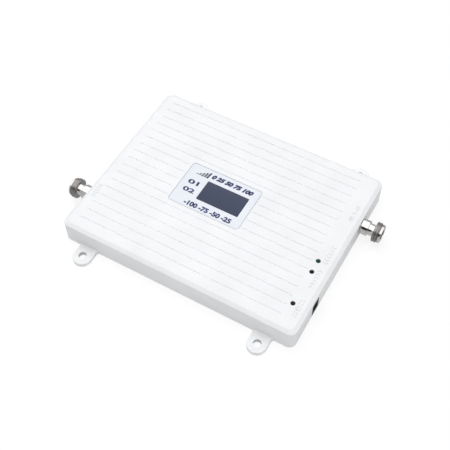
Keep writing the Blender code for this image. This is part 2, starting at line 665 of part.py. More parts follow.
def build_display():
    """Smoked lens, display panel, the frame that carries it and its board connector."""
    lens_top = BODY_HEIGHT - LENS_SINK
    mesh = prism("display_lens", [window_outline(0.0)], lens_top - LENS_THICKNESS, lens_top)
    add_object("display_lens", mesh, "lens_smoke")

    ledge_top = OVER_BOARD + FRAME_LEDGE_HEIGHT
    panel_bottom = ledge_top + FIT_GAP
    panel = rectangle(PANEL_SIZE[0], PANEL_SIZE[1], WINDOW_CENTRE)
    mesh = prism("display_panel", [panel], panel_bottom, panel_bottom + PANEL_THICKNESS)
    add_object("display_panel", mesh, "display_glass")

    length = PANEL_SIZE[0] + 2 * (FRAME_BORDER + FIT_GAP)
    width = PANEL_SIZE[1] + 2 * (FRAME_BORDER + FIT_GAP)
    outer = rounded_rectangle(length, width, FRAME_RADIUS, WINDOW_CENTRE, SMALL_CORNER_STEPS)
    frame_top = OVER_BOARD + FRAME_HEIGHT
    mesh = prism("display_frame", [outer], OVER_BOARD, frame_top)
    frame = add_object("display_frame", mesh, "black_plastic")
    pocket = rectangle(PANEL_SIZE[0] + 2 * FIT_GAP, PANEL_SIZE[1] + 2 * FIT_GAP, WINDOW_CENTRE)
    mesh = prism("frame_pocket_cut", [pocket], ledge_top, frame_top + OVERRUN)
    add_boolean(frame, add_tool("frame_pocket_cut", mesh), "DIFFERENCE")
    through = rectangle(PANEL_SIZE[0] - 2 * FRAME_LEDGE, PANEL_SIZE[1] - 2 * FRAME_LEDGE, WINDOW_CENTRE)
    mesh = prism("frame_through_cut", [through], OVER_BOARD - OVERRUN, frame_top + OVERRUN)
    add_boolean(frame, add_tool("frame_through_cut", mesh), "DIFFERENCE")

    header = rectangle(HEADER_SIZE[0], HEADER_SIZE[1], WINDOW_CENTRE)
    mesh = prism("display_connector", [header], OVER_BOARD, OVER_BOARD + HEADER_SIZE[2])
    add_object("display_connector", mesh, "black_plastic")


def build_lamps():
    """Three lamps that stand on the board and show through the roof."""
    dome = LAMP_TOP - LAMP_DOME_HEIGHT
    profile = [(0.0, OVER_BOARD), (LAMP_FLANGE_RADIUS, OVER_BOARD)]
    profile += [(LAMP_FLANGE_RADIUS, OVER_BOARD + LAMP_FLANGE_HEIGHT)]
    profile += [(LAMP_RADIUS, OVER_BOARD + LAMP_FLANGE_HEIGHT), (LAMP_RADIUS, dome)]
    for angle in (30, 60):
        turn = math.radians(angle)
        profile.append((LAMP_RADIUS * math.cos(turn), dome + (LAMP_TOP - dome) * math.sin(turn)))
    profile.append((0.0, LAMP_TOP))
    lens = {"downlink_led": "green_lens", "uplink_led": "dark_lens", "power_led": "red_lens"}
    for name, y in LAMP_Y.items():
        lamp = add_object(name, turned(name, profile, SMALL_ROUND_STEPS), lens[name])
        lamp.location = (LAMP_X, y, 0.0)
        shade_round(lamp)


# ---- antenna jacks ----------------------------------------------------------------------------------

def end_wall_matrix(side, y):
    """Stand local +Z straight out of an end wall, with z = 0 on the wall's outer face."""
    turn = Matrix.Rotation(side * math.radians(90), 4, "Y")
    return Matrix.Translation((side * HALF_LENGTH, y, JACK_Z)) @ turn


def jack_body_profile():
    """Outline of the turned jack body: mouth, lip, ring, neck, base and shank."""
    edge = JACK_EDGE
    outer = [
        (JACK_MOUTH_RADIUS, JACK_LENGTH),
        (JACK_LIP_RADIUS - edge, JACK_LENGTH),
        (JACK_LIP_RADIUS, JACK_LENGTH - edge),
        (JACK_LIP_RADIUS, JACK_GROOVE_END),
        (JACK_GROOVE_RADIUS, JACK_GROOVE_END),
        (JACK_GROOVE_RADIUS, JACK_RING_END),
        (JACK_RING_RADIUS - edge, JACK_RING_END),
        (JACK_RING_RADIUS, JACK_RING_END - edge),
        (JACK_RING_RADIUS, JACK_RING_START + edge),
        (JACK_RING_RADIUS - edge, JACK_RING_START),
        (JACK_NECK_RADIUS, JACK_RING_START),
        (JACK_NECK_RADIUS, JACK_BASE_LENGTH),
        (JACK_BASE_RADIUS - edge, JACK_BASE_LENGTH),
        (JACK_BASE_RADIUS, JACK_BASE_LENGTH - edge),
        (JACK_BASE_RADIUS, FIT_GAP),
        (JACK_SHANK_RADIUS, FIT_GAP),
        (JACK_SHANK_RADIUS, -JACK_SHANK_LENGTH),
    ]
    step = JACK_LENGTH - JACK_MOUTH_DEPTH
    bore = [(JACK_BORE_RADIUS, -JACK_SHANK_LENGTH), (JACK_BORE_RADIUS, step), (JACK_MOUTH_RADIUS, step)]
    return outer + bore


def build_jack_contact(name, place):
    """Centre contact: a slit socket in front and a thin solder tail behind."""
    floor = CONTACT_FRONT - CONTACT_SOCKET_DEPTH
    profile = [
        (CONTACT_SOCKET_RADIUS, floor),
        (CONTACT_SOCKET_RADIUS, CONTACT_FRONT),
        (CONTACT_RADIUS, CONTACT_FRONT),
        (CONTACT_RADIUS, -JACK_SHANK_LENGTH),
        (CONTACT_TAIL_RADIUS, -JACK_SHANK_LENGTH),
        (CONTACT_TAIL_RADIUS, -CONTACT_TAIL_END),
        (0.0, -CONTACT_TAIL_END),
        (0.0, floor),
    ]
    contact = add_object(name, turned(name, profile, SMALL_ROUND_STEPS), "gold")
    contact.matrix_world = place
    slits = cross_slots(
        name + "_cut",
        4 * CONTACT_RADIUS,
        CONTACT_SLIT,
        CONTACT_FRONT - CONTACT_SLIT_DEPTH,
        CONTACT_FRONT + OVERRUN,
    )
    tool = add_tool(name + "_cut", slits)
    tool.matrix_world = place
    add_boolean(contact, tool, "DIFFERENCE")
    shade_round(contact)


def ring_profile(inner, outer, bottom, top):
    """Closed profile of a plain ring."""
    return [(inner, bottom), (outer, bottom), (outer, top), (inner, top)]


def build_jack(prefix, side, y):
    """One coaxial antenna jack with its insulator, contact, washer and nut."""
    place = end_wall_matrix(side, y)
    body = add_object(prefix + "_body", turned(prefix + "_body", jack_body_profile()), "nickel")
    body.matrix_world = place
    shade_round(body)

    back = -JACK_SHANK_LENGTH + FIT_GAP
    front = JACK_LENGTH - JACK_MOUTH_DEPTH + FIT_GAP
    rim = ring_profile(INSULATOR_BORE_RADIUS, JACK_BORE_RADIUS - FIT_GAP, back, front)
    mesh = turned(prefix + "_insulator", rim, MEDIUM_ROUND_STEPS)
    insulator = add_object(prefix + "_insulator", mesh, "white_insulator")
    insulator.matrix_world = place
    shade_round(insulator)
    build_jack_contact(prefix + "_contact", place)

    washer_front = -WALL - FIT_GAP
    washer_back = washer_front - WASHER_THICKNESS
    rim = ring_profile(JACK_HOLE_RADIUS, WASHER_RADIUS, washer_back, washer_front)
    mesh = turned(prefix + "_washer", rim, MEDIUM_ROUND_STEPS)
    washer = add_object(prefix + "_washer", mesh, "steel_screw")
    washer.matrix_world = place
    shade_round(washer)

    nut_front = washer_back - FIT_GAP
    corner = NUT_ACROSS_FLATS / math.sqrt(3)
    hexagon = [(cy, cx) for cx, cy in circle((0.0, 0.0), corner, 6)]
    mesh = prism(prefix + "_nut", [hexagon], nut_front - NUT_THICKNESS, nut_front)
    nut = add_object(prefix + "_nut", mesh, "nickel")
    nut.matrix_world = place
    hole = circle((0.0, 0.0), JACK_HOLE_RADIUS, MEDIUM_ROUND_STEPS)
    mesh = prism(prefix + "_nut_cut", [hole], nut_front - NUT_THICKNESS - OVERRUN, nut_front + OVERRUN)
    tool = add_tool(prefix + "_nut_cut", mesh)
    tool.matrix_world = place
    add_boolean(nut, tool, "DIFFERENCE")


# ---- power inlet ----------------------------------------------------------------------------------------

def build_power_inlet():
    """Square direct-current inlet in the end wall, stepped to fit under the board's edge."""
    outline = rectangle(INLET_LENGTH, INLET_WIDTH, (INLET_FACE_X - INLET_LENGTH / 2, INLET_Y))
    mesh = prism("dc_inlet_body", [outline], INLET_BOTTOM, INLET_TOP)
    inlet = add_object("dc_inlet_body", mesh, "black_plastic")
    step_end = BOARD_LENGTH / 2 + FIT_GAP
    step = rectangle(INLET_LENGTH, INLET_WIDTH + 2 * OVERRUN, (step_end - INLET_LENGTH / 2, INLET_Y))
    mesh = prism("dc_inlet_step_cut", [step], UNDER_BOARD, INLET_TOP + OVERRUN)
    add_boolean(inlet, add_tool("dc_inlet_step_cut", mesh), "DIFFERENCE")

    turn = Matrix.Rotation(math.radians(90), 4, "Y")
    place = Matrix.Translation((INLET_FACE_X, INLET_Y, INLET_BORE_Z)) @ turn
    pin_hole = INLET_PIN_RADIUS + FIT_GAP
    back = -INLET_LENGTH - OVERRUN
    profile = [(0.0, OVERRUN), (INLET_BORE_RADIUS, OVERRUN), (INLET_BORE_RADIUS, -INLET_BORE_DEPTH)]
    profile += [(pin_hole, -INLET_BORE_DEPTH), (pin_hole, back), (0.0, back)]
    tool = add_tool("dc_inlet_cut", turned("dc_inlet_cut", profile, MEDIUM_ROUND_STEPS))
    tool.matrix_world = place
    add_boolean(inlet, tool, "DIFFERENCE")

    tip = -INLET_PIN_RECESS
    round_over = INLET_PIN_RADIUS / 2
    profile = [(0.0, tip), (INLET_PIN_RADIUS - round_over, tip), (INLET_PIN_RADIUS, tip - round_over)]
    profile += [(INLET_PIN_RADIUS, back), (0.0, back)]
    pin = add_object("dc_inlet_pin", turned("dc_inlet_pin", profile, SMALL_ROUND_STEPS), "nickel")
    pin.matrix_world = place
    shade_round(pin)


# ---- assembly --------------------------------------------------------------------------------------------

def build_booster():
    """Build every piece of the booster in its place."""
    clear_scene()
    build_housing()
    build_bottom_cover()
    build_cover_screws()
    build_main_board()
    build_board_screws()
    build_board_blocks()
    build_shield_cans()
    build_capacitors()
    build_thermal_pads()
    build_label()
    build_display()
    build_lamps()
    build_jack("outdoor_jack", -1, OUTDOOR_JACK_Y)
    build_jack("indoor_jack", 1, INDOOR_JACK_Y)
    build_power_inlet()


build_booster()
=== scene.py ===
"""Looks of a cellular signal booster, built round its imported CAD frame.

Units are metres and +Z is up.  +X runs towards the end with the indoor antenna jack,
the lamps and the power inlet.  The origin is under the middle of the box.
"""

import math

import bmesh
import bpy
from mathutils import Matrix, Vector


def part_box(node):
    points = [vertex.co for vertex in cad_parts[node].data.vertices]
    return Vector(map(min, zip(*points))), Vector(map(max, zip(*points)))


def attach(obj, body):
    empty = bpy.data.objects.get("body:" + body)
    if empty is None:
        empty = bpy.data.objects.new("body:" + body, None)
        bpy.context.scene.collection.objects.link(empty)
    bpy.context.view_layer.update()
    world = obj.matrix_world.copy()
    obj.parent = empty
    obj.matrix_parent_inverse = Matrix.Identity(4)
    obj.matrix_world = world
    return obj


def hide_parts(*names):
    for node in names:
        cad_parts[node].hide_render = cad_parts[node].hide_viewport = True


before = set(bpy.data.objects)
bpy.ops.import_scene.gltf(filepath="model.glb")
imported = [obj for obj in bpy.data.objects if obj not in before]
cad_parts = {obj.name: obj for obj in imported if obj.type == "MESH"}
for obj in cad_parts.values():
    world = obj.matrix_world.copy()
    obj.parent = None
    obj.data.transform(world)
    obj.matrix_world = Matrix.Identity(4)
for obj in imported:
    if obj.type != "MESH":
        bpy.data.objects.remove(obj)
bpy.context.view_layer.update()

MM = 0.001

# ---- sizes that the frame gives ----

BODY_LOW, BODY_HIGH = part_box("housing_shell")
ROOF_Z = BODY_HIGH.z
BODY_LENGTH = BODY_HIGH.x - BODY_LOW.x
HALF_LENGTH = BODY_LENGTH / 2
EAR_TIP_Y = BODY_HIGH.y
COVER_LOW, COVER_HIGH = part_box("bottom_cover")
COVER_THICKNESS = COVER_HIGH.z - COVER_LOW.z
LABEL_LOW, LABEL_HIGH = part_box("overlay_label")
LENS_LOW, LENS_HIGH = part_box("display_lens")
LENS_MIDDLE = (LENS_LOW + LENS_HIGH) / 2
JACK_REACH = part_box("indoor_jack_body")[1].x - HALF_LENGTH

# ---- sizes of the housing, as in the solids ----

BODY_WIDTH = 153.0 * MM
WALL = 3.0 * MM
ROOF = 2.5 * MM
GAP = 0.3 * MM
OVERRUN = 1.0 * MM
CORNER_RADIUS = 5.5 * MM
CORNER_TAPER = 1.5 / 3.1
TOP_CHAMFER_WIDTH = 3.1 * MM
TOP_CHAMFER_HEIGHT = 1.8 * MM
FOOT_CHAMFER = 0.4 * MM
CEILING = ROOF_Z - ROOF
COVER_INSET = 1.8 * MM
SCREW_BOSS_RADIUS = 4.8 * MM
BOARD_BOSS_RADIUS = 3.2 * MM
SCREW_HOLE_RADIUS = 1.5 * MM
COVER_HOLE_TOP = 11.0 * MM
COVER_SCREWS = 6
BOARD_SCREWS = 5
JACK_HOLE_RADIUS = 5.0 * MM

GROOVE_COUNT = 17
GROOVE_PITCH = 8.25 * MM
GROOVE_CENTRE_Y = 0.95 * MM
GROOVE_LEFT = -87.5 * MM
GROOVE_RIGHT = 80.7 * MM
# a groove that passes the label nearer than the first is broken, and stops short of it by the second
GROOVE_BESIDE_LABEL = 0.9 * MM
GROOVE_TO_LABEL = 2.4 * MM
# (half width, height above the roof's face) in millimetres, from a groove's floor to its lips and up
GROOVE_SECTION = [(0.10, -0.50), (0.34, -0.42), (0.42, -0.20), (0.46, -0.08), (0.60, 0.0), (0.60, 0.6)]

EAR_X = 73.9 * MM
EAR_HALF_WIDTH = 7.3 * MM
EAR_ROUND_Y = EAR_TIP_Y - EAR_HALF_WIDTH
EAR_HOLE_Y = 85.5 * MM
EAR_FLARE = 2.0 * MM
EAR_THICKNESS = 3.5 * MM
EAR_HOLE_RADIUS = 3.05 * MM
EAR_SEAT_RADIUS = 5.2 * MM
EAR_SEAT_RISE = 0.4 * MM
# (inset, height above the ear's face) in millimetres, from inside the ear to the seat's face
SEAT_SECTION = [(-0.7, -1.75), (-0.7, 0.0), (0.0, 0.1), (0.6, 0.3), (1.1, 0.4)]

# ---- softened edges ----

FOOT_ROUNDING = 0.3 * MM
CHAMFER_ROUNDING = 0.5 * MM
ROOF_ROUNDING = 1.0 * MM
EAR_EDGE = 0.7 * MM
EAR_FOOT_WIDTH = 0.5 * MM
EAR_FOOT_HEIGHT = 0.3 * MM
EAR_FOOT_ROUNDING = 0.2 * MM
HOLE_LIP = 0.15 * MM
BED_LIP = 0.12 * MM
INLET_LIP = 0.1 * MM

# ---- threaded ring of the antenna jacks, from the wall outwards ----

RING_RADIUS = 7.9 * MM
RING_START = 10.6 * MM
RING_END = 14.2 * MM

# ---- how finely round shapes are divided ----

CORNER_STEPS = 10
SHORT_ARC_STEPS = 6
EAR_TIP_STEPS = 28
ROUND_STEPS = 64
SMALL_ROUND_STEPS = 32
SCREW_HOLE_STEPS = 16
FILLET_STEPS = 4
SMOOTH_ANGLE = math.radians(38)
# a profile's points nearer to the axis than this lie on it
ON_AXIS = 1e-7


# ---- outlines ----

def arc(centre, radius, start, end, steps):
    """Points of an arc between two angles in degrees, both ends included."""
    points = []
    for step in range(steps + 1):
        angle = math.radians(start + (end - start) * step / steps)
        points.append((centre[0] + radius * math.cos(angle), centre[1] + radius * math.sin(angle)))
    return points


def circle(centre, radius, steps=SMALL_ROUND_STEPS):
    """Points of a whole circle."""
    return arc(centre, radius, 0, 360, steps)[:-1]


def rectangle(x0, y0, x1, y1):
    """Outline of an upright rectangle between two corners."""
    return [(x0, y0), (x1, y0), (x1, y1), (x0, y1)]


def rounded_rectangle(length, width, radius, centre=(0.0, 0.0), steps=CORNER_STEPS):
    """Outline of a rectangle with round corners, counter-clockwise."""
    outline = []
    for quarter, (side_x, side_y) in enumerate([(1, 1), (-1, 1), (-1, -1), (1, -1)]):
        corner = (
            centre[0] + side_x * (length / 2 - radius),
            centre[1] + side_y * (width / 2 - radius),
        )
        outline += arc(corner, radius, quarter * 90, quarter * 90 + 90, steps)
    return outline


def outline_round(low, high, margin, radius, steps):
    """Rounded outline of a box seen from above, widened by margin."""
    middle = (low + high) / 2
    size = high - low
    return rounded_rectangle(size.x + 2 * margin, size.y + 2 * margin, radius, (middle.x, middle.y), steps)


def cross_outline(far, near):
    """Outline of a plus sign, from its middle to the arms' ends and to their sides."""
    half = [(far, -near), (far, near), (near, near), (near, far), (-near, far), (-near, near)]
    return half + [(-x, -y) for x, y in half]


def from_mm(points, centre=(0.0, 0.0)):
    """Points given in millimetres about a centre that is in metres."""
    return [(centre[0] + x * MM, centre[1] + y * MM) for x, y in points]


def body_outline(inset):
    """The box's outline seen from above, moved inwards by inset."""
    radius = CORNER_RADIUS - inset * CORNER_TAPER
    return rounded_rectangle(BODY_LENGTH - 2 * inset, BODY_WIDTH - 2 * inset, radius)


def slot_outline(start, end, y, half_width):
    """Outline of a straight slot with round ends."""
    right = arc((end, y), half_width, -90, 90, SHORT_ARC_STEPS)
    left = arc((start, y), half_width, 90, 270, SHORT_ARC_STEPS)
    return right + left


def ear_outline(x, side, inset):
    """Outline of one fixing ear, flared where it leaves the long wall, moved inwards by inset."""
    root_y = BODY_WIDTH / 2 - WALL / 2
    flare = EAR_FLARE + inset
    half = EAR_HALF_WIDTH - inset
    wall_y = BODY_WIDTH / 2 - inset
    outline = [(half + flare, root_y)]
    outline += arc((half + flare, wall_y + flare), flare, 270, 180, SHORT_ARC_STEPS)
    outline += arc((0.0, EAR_ROUND_Y), half, 0, 180, EAR_TIP_STEPS)
    outline += arc((-half - flare, wall_y + flare), flare, 0, -90, SHORT_ARC_STEPS)
    outline.append((-half - flare, root_y))
    outline = [(x + px, side * py) for px, py in outline]
    return outline if side > 0 else outline[::-1]


def fillet(points, radii):
    """Round the inner corners of an open line of points, each by its own radius."""
    rounded = [points[0]]
    for index in range(1, len(points) - 1):
        radius = radii[index - 1]
        here = Vector(points[index])
        back = (Vector(points[index - 1]) - here).normalized()
        ahead = (Vector(points[index + 1]) - here).normalized()
        half_turn = back.angle(ahead) / 2
        reach = radius / math.tan(half_turn)
        centre = here + (back + ahead).normalized() * (radius / math.sin(half_turn))
        start = here + back * reach - centre
        end = here + ahead * reach - centre
        for step in range(FILLET_STEPS + 1):
            way = start.lerp(end, step / FILLET_STEPS).normalized() * radius
            rounded.append(tuple(centre + way))
    rounded.append(points[-1])
    return rounded


def cylinder_line(radius, start, end, rows):
    """Profile points along a cylinder's wall, close enough for a thread to be cut into them."""
    return [(radius, start + (end - start) * row / rows) for row in range(rows + 1)]


# ---- meshes and objects ----

def to_mesh(work):
    """Turn a bmesh into a mesh with all its faces pointing out."""
    bmesh.ops.recalc_face_normals(work, faces=work.faces[:])
    mesh = bpy.data.meshes.new("shape")
    work.to_mesh(mesh)
    work.free()
    return mesh


def loft(*solids):
    """Mesh of one or more closed solids, each a list of (outline, z) with outlines of equal length."""
    work = bmesh.new()
    for sections in solids:
        rings = []
        for outline, z in sections:
            rings.append([work.verts.new((x, y, z)) for x, y in outline])
        for lower, upper in zip(rings, rings[1:]):
            for index in range(len(lower)):
                after = (index + 1) % len(lower)
                work.faces.new((lower[index], lower[after], upper[after], upper[index]))
        work.faces.new(list(reversed(rings[0])))
        work.faces.new(rings[-1])
    return to_mesh(work)


def prism(outlines, bottom, top):
    """Mesh of upright solids that share their bottom and top heights."""
    return loft(*[[(outline, bottom), (outline, top)] for outline in outlines])


def posts(places, radius, bottom, top, steps=SMALL_ROUND_STEPS):
    """Mesh of equal round posts, for bosses or holes."""
    return prism([circle(place, radius, steps) for place in places], bottom, top)


def screw_thread(start, end, pitch, depth, root=0.0, fades=True):
    """Function that gives a thread's depth at a point, which is 0 inside the radius root.

    A thread that fades runs out over one pitch at both ends.
    """
    def depth_at(radius, height, turn):
        if radius <= root or not start < height < end:
            return 0.0
        phase = (height / pitch - turn) % 1.0
        share = min(1.0, (end - height) / pitch, (height - start) / pitch) if fades else 1.0
        return depth * abs(2.0 * phase - 1.0) * share

    return depth_at


def lathe(profile, steps=SMALL_ROUND_STEPS, threads=()):
    """Solid turned about Z from a closed profile of (radius, height) points, with threads cut in."""
    work = bmesh.new()
    rings = []
    for radius, height in profile:
        if radius < ON_AXIS:
            rings.append([work.verts.new((0.0, 0.0, height))])
            continue
        ring = []
        for step in range(steps):
            turn = step / steps
            reach = radius - sum(thread(radius, height, turn) for thread in threads)
            angle = math.tau * turn
            ring.append(work.verts.new((reach * math.cos(angle), reach * math.sin(angle), height)))
        rings.append(ring)
    for index, lower in enumerate(rings):
        upper = rings[(index + 1) % len(rings)]
        if len(lower) == 1 and len(upper) == 1:
            continue
        for step in range(steps):
            after = (step + 1) % steps
            places = ((lower, step), (lower, after), (upper, after), (upper, step))
            # a ring of one point, on the axis, gives a triangle
            corners = [ring[place % len(ring)] for ring, place in places]
            work.faces.new(list(dict.fromkeys(corners)))
    return to_mesh(work)


def add_object(name, data, place=None):
    """Link a mesh, curve, light or camera to the scene as a named object."""
    thing = bpy.data.objects.new(name, data)
    bpy.context.scene.collection.objects.link(thing)
    if place is not None:
        thing.matrix_world = place
    return thing


def evaluated_mesh(thing):
    """New mesh of an object with its modifiers, or of a text, as they now stand."""
    bpy.context.view_layer.update()
    graph = bpy.context.evaluated_depsgraph_get()
    return bpy.data.meshes.new_from_object(thing.evaluated_get(graph))


CUT = "DIFFERENCE"
JOIN = "UNION"


def shape(name, base, steps=(), place=None):
    """Object made from a base mesh by Boolean steps, each (operation, mesh) or with its own place."""
    thing = add_object(name, base, place)
    tools = []
    for operation, mesh, *tool_place in steps:
        tool = add_object(name + "_tool", mesh, tool_place[0] if tool_place else place)
        tools.append(tool)
        modifier = thing.modifiers.new(operation, "BOOLEAN")
        modifier.operation = operation
        modifier.solver = "EXACT"
        modifier.object = tool
    if tools:
        made = evaluated_mesh(thing)
        thing.modifiers.clear()
        thing.data = made
        for tool in tools:
            bpy.data.objects.remove(tool)
    thing.data.name = name
    thing.data.shade_smooth()
    thing.data.set_sharp_from_angle(angle=SMOOTH_ANGLE)
    return thing


def settle(thing, material, slot, *nodes):
    """Give a finished piece its material, its body and the CAD nodes that it stands for."""
    thing.data.materials.clear()
    thing.data.materials.append(material)
    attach(thing, "root")
    if nodes:
        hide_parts(*nodes)


def node_centre(name):
    """Middle of a CAD node's box."""
    low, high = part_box(name)
    return (low + high) / 2


def numbered(prefix, count):
    """Names of nodes that are numbered from 1."""
    return [f"{prefix}_{number}" for number in range(1, count + 1)]


def outward(point, side):
    """Place at a point with +Z straight out of the end wall on that side."""
    return Matrix.Translation(point) @ Matrix.Rotation(side * math.radians(90), 4, "Y")


# ---- materials ----

class Nodes:
    """A tree of shader nodes, with short ways to add to it."""

    def __init__(self, tree):
        self.tree = tree

    def feed(self, socket, value):
        """Link an input to another node's output, or set its value."""
        if isinstance(value, bpy.types.NodeSocket):
            self.tree.links.new(value, socket)
        else:
            socket.default_value = value

    def node(self, kind, inputs=None, **settings):
        """Add a node with its settings; inputs gives an output or a value for each input fed."""
        made = self.tree.nodes.new("ShaderNode" + kind)
        for name, value in settings.items():
            setattr(made, name, value)
        for key, value in (inputs or {}).items():
            self.feed(made.inputs[key], value)
        return made

    def math(self, operation, *values):
        """Result of a sum, product or other operation on numbers."""
        return self.node("Math", dict(enumerate(values)), operation=operation).outputs["Value"]

    def vector_math(self, operation, *values):
        """Outputs of an operation on vectors."""
        return self.node("VectorMath", dict(enumerate(values)), operation=operation).outputs

    def axes(self, vector):
        """Outputs X, Y and Z of a vector."""
        return self.node("SeparateXYZ", {"Vector": vector}).outputs


class Finish(Nodes):
    """One procedural material, built step by step round a Principled shader."""

    def __init__(self, name, metallic=0.0):
        self.material = bpy.data.materials.new(name)
        self.material.use_nodes = True
        super().__init__(self.material.node_tree)
        self.shader = self.tree.nodes["Principled BSDF"]
        self.set(Metallic=metallic)
        self.place = self.node("TexCoord").outputs["Object"]

    def set(self, **values):
        """Set uniform values on the shader's own sockets; _ in a name stands for a space."""
        for name, value in values.items():
            self.shader.inputs[name.replace("_", " ")].default_value = value

    def noise(self, scale, detail=3.0, stretch=(1.0, 1.0, 1.0)):
        """Noise over the piece; stretch scales it along each axis."""
        mapping = self.node("Mapping", {"Scale": stretch, "Vector": self.place})
        inputs = {"Scale": scale, "Detail": detail, "Vector": mapping.outputs["Vector"]}
        return self.node("TexNoise", inputs).outputs["Fac"]

    def radius(self, vector):
        """Distance of a vector's end from the Z axis."""
        flat = self.vector_math("MULTIPLY", vector, (1.0, 1.0, 0.0))["Vector"]
        return self.vector_math("LENGTH", flat)["Value"]

    def turned_lines(self, spacing):
        """Fine rings left by turning, round the piece's own Z axis."""
        along = self.math("ADD", self.axes(self.place)["Z"], self.radius(self.place))
        inputs = {"Scale": 1.0 / spacing, "Detail": 2.0, "W": along}
        return self.node("TexNoise", inputs, noise_dimensions="1D").outputs["Fac"]

    def folded_offset(self, centre):
        """Offset from a centre, with all four quarters of the piece folded onto the first one."""
        folded = self.vector_math("ABSOLUTE", self.place)["Vector"]
        return self.vector_math("SUBTRACT", folded, centre)["Vector"]

    def colour(self, pattern, dark, light, low=0.35, high=0.65):
        """Base colour that runs from dark to light with a pattern."""
        ramp = self.node("ValToRGB", {"Fac": pattern})
        for stop, position, colour in zip(ramp.color_ramp.elements, (low, high), (dark, light)):
            stop.position = position
            stop.color = (*colour, 1.0)
        self.feed(self.shader.inputs["Base Color"], ramp.outputs["Color"])

    def roughness(self, pattern, low, high):
        """Roughness that varies between two values with a pattern."""
        inputs = {"Value": pattern, "From Min": 0.3, "From Max": 0.7, "To Min": low, "To Max": high}
        spread = self.node("MapRange", inputs)
        self.feed(self.shader.inputs["Roughness"], spread.outputs["Result"])

    def bump(self, pattern, height):
        """Relief of a given height from a pattern."""
        bump = self.node("Bump", {"Height": pattern, "Distance": height})
        self.feed(self.shader.inputs["Normal"], bump.outputs["Normal"])

    def tint(self, mask, colour):
        """Multiply the base colour by a tint where the mask is 1."""
        socket = self.shader.inputs["Base Color"]
        inputs = {"Fac": mask, "Color1": socket.links[0].from_socket, "Color2": (*colour, 1.0)}
        mix = self.node("MixRGB", inputs, blend_type="MULTIPLY")
        self.feed(socket, mix.outputs["Color"])


# painted shade: the paint's colour is darkened in the ear holes and in the grooves and marks, standing in
# for the shade that falls there
HOLE_PAINTED_SHADE = (0.76, 0.78, 0.79)
GROOVE_PAINTED_SHADE = (0.965, 0.965, 0.968)
# depths below the roof's face that count as inside a groove or mark, where painted shade darkens the
# paint: their middle, and reach either way
GROOVE_SHADE_BAND = (0.4 * MM, 0.32 * MM)


def coated(name, clouds, dark, light, grain, smooth, rough, shine=0.5):
    """Finish coloured by broad clouds, roughened by a finer grain; each is (scale, detail) of a noise."""
    finish = Finish(name)
    finish.set(Specular_IOR_Level=shine)
    finish.colour(finish.noise(*clouds), dark, light)
    finish.roughness(finish.noise(*grain), smooth, rough)
    return finish


def white_paint():
    """Satin white powder coat with its fine orange peel, with painted shade in the ear holes and grooves.
    """
    dark = (0.848, 0.852, 0.856)
    light = (0.886, 0.889, 0.893)
    finish = coated("white_paint", (45.0, 5.0), dark, light, (220.0, 4.0), 0.38, 0.50)
    finish.bump(finish.noise(1400.0, 2.0), 0.012 * MM)

    # painted shade on the walls of the ear holes
    from_hole = finish.radius(finish.folded_offset((EAR_X, EAR_HOLE_Y, 0.0)))
    finish.tint(finish.math("LESS_THAN", from_hole, EAR_HOLE_RADIUS + 0.03 * MM), HOLE_PAINTED_SHADE)

    # painted shade in the grooves and the marks, away from the roof's edges
    middle, reach = GROOVE_SHADE_BAND
    margin = 1.3 * TOP_CHAMFER_WIDTH
    offset = finish.axes(finish.folded_offset((0.0, 0.0, ROOF_Z - middle)))
    along = finish.math("LESS_THAN", offset["X"], HALF_LENGTH - margin)
    across = finish.math("LESS_THAN", offset["Y"], BODY_WIDTH / 2 - margin)
    depth = finish.math("COMPARE", offset["Z"], 0.0, reach)
    finish.tint(finish.math("MULTIPLY", finish.math("MULTIPLY", along, across), depth), GROOVE_PAINTED_SHADE)
    return finish.material


def label_film():
    """Pale bluish printed film with a satin face."""
    dark = (0.775, 0.800, 0.850)
    light = (0.820, 0.842, 0.890)
    finish = coated("label_film", (30.0, 3.0), dark, light, (900.0, 2.0), 0.30, 0.40)
    finish.bump(finish.noise(4000.0, 2.0), 0.004 * MM)
    return finish.material


def fading_ink():
    """Dark ink that is greyer towards the label's left end."""
    finish = Finish("fading_grey_ink")
    fade_end = LABEL_LOW.x + 19.0 * MM
    inputs = {"Value": finish.axes(finish.place)["X"], "From Min": LABEL_LOW.x, "From Max": fade_end}
    along = finish.node("MapRange", inputs).outputs["Result"]
    finish.colour(along, (0.42, 0.44, 0.48), (0.055, 0.060, 0.080), 0.2, 0.9)
    finish.roughness(finish.noise(2500.0, 2.0), 0.40, 0.55)
    return finish.material


def turned_metal(name, dark, light, spacing, relief, smooth, rough):
    """Plated metal with faint turning marks."""
    finish = Finish(name, 1.0)
    lines = finish.turned_lines(spacing)
    finish.colour(lines, dark, light)
    finish.roughness(lines, smooth, rough)
    if relief:
        finish.bump(lines, relief)
    return finish.material


# spacing and relief of the turning marks in nickel
NICKEL_LINES = 0.12 * MM
NICKEL_RELIEF = 0.0012 * MM
# how much of the shine comes from being off the ring, where the rest follows the turning marks
POLISH_SHARE = 0.6


def jack_nickel():
    """Polished nickel plate that is dull and darker on the jack's threaded ring."""
    finish = Finish("jack_nickel", 1.0)
    lines = finish.turned_lines(NICKEL_LINES)
    # the dull stretch takes in the shoulders of the ring and the groove before the lip
    ring_middle = (RING_START + RING_END) / 2 + 0.5 * MM
    ring_reach = (RING_END - RING_START) / 2 + 0.6 * MM
    on_ring = finish.math("COMPARE", finish.axes(finish.place)["Z"], ring_middle, ring_reach)
    polish = finish.math("MULTIPLY_ADD", on_ring, -POLISH_SHARE, POLISH_SHARE)
    shine = finish.math("MULTIPLY_ADD", lines, 1.0 - POLISH_SHARE, polish)
    finish.colour(shine, (0.250, 0.232, 0.220), (0.700, 0.685, 0.660), 0.1, 0.8)
    finish.roughness(shine, 0.34, 0.13)
    finish.bump(lines, NICKEL_RELIEF)
    return finish.material


def lamp_epoxy(name, dark, light):
    """Clear coloured epoxy of an unlit lamp."""
    return coated(name, (900.0, 2.0), dark, light, (1600.0, 2.0), 0.10, 0.18, 0.12).material


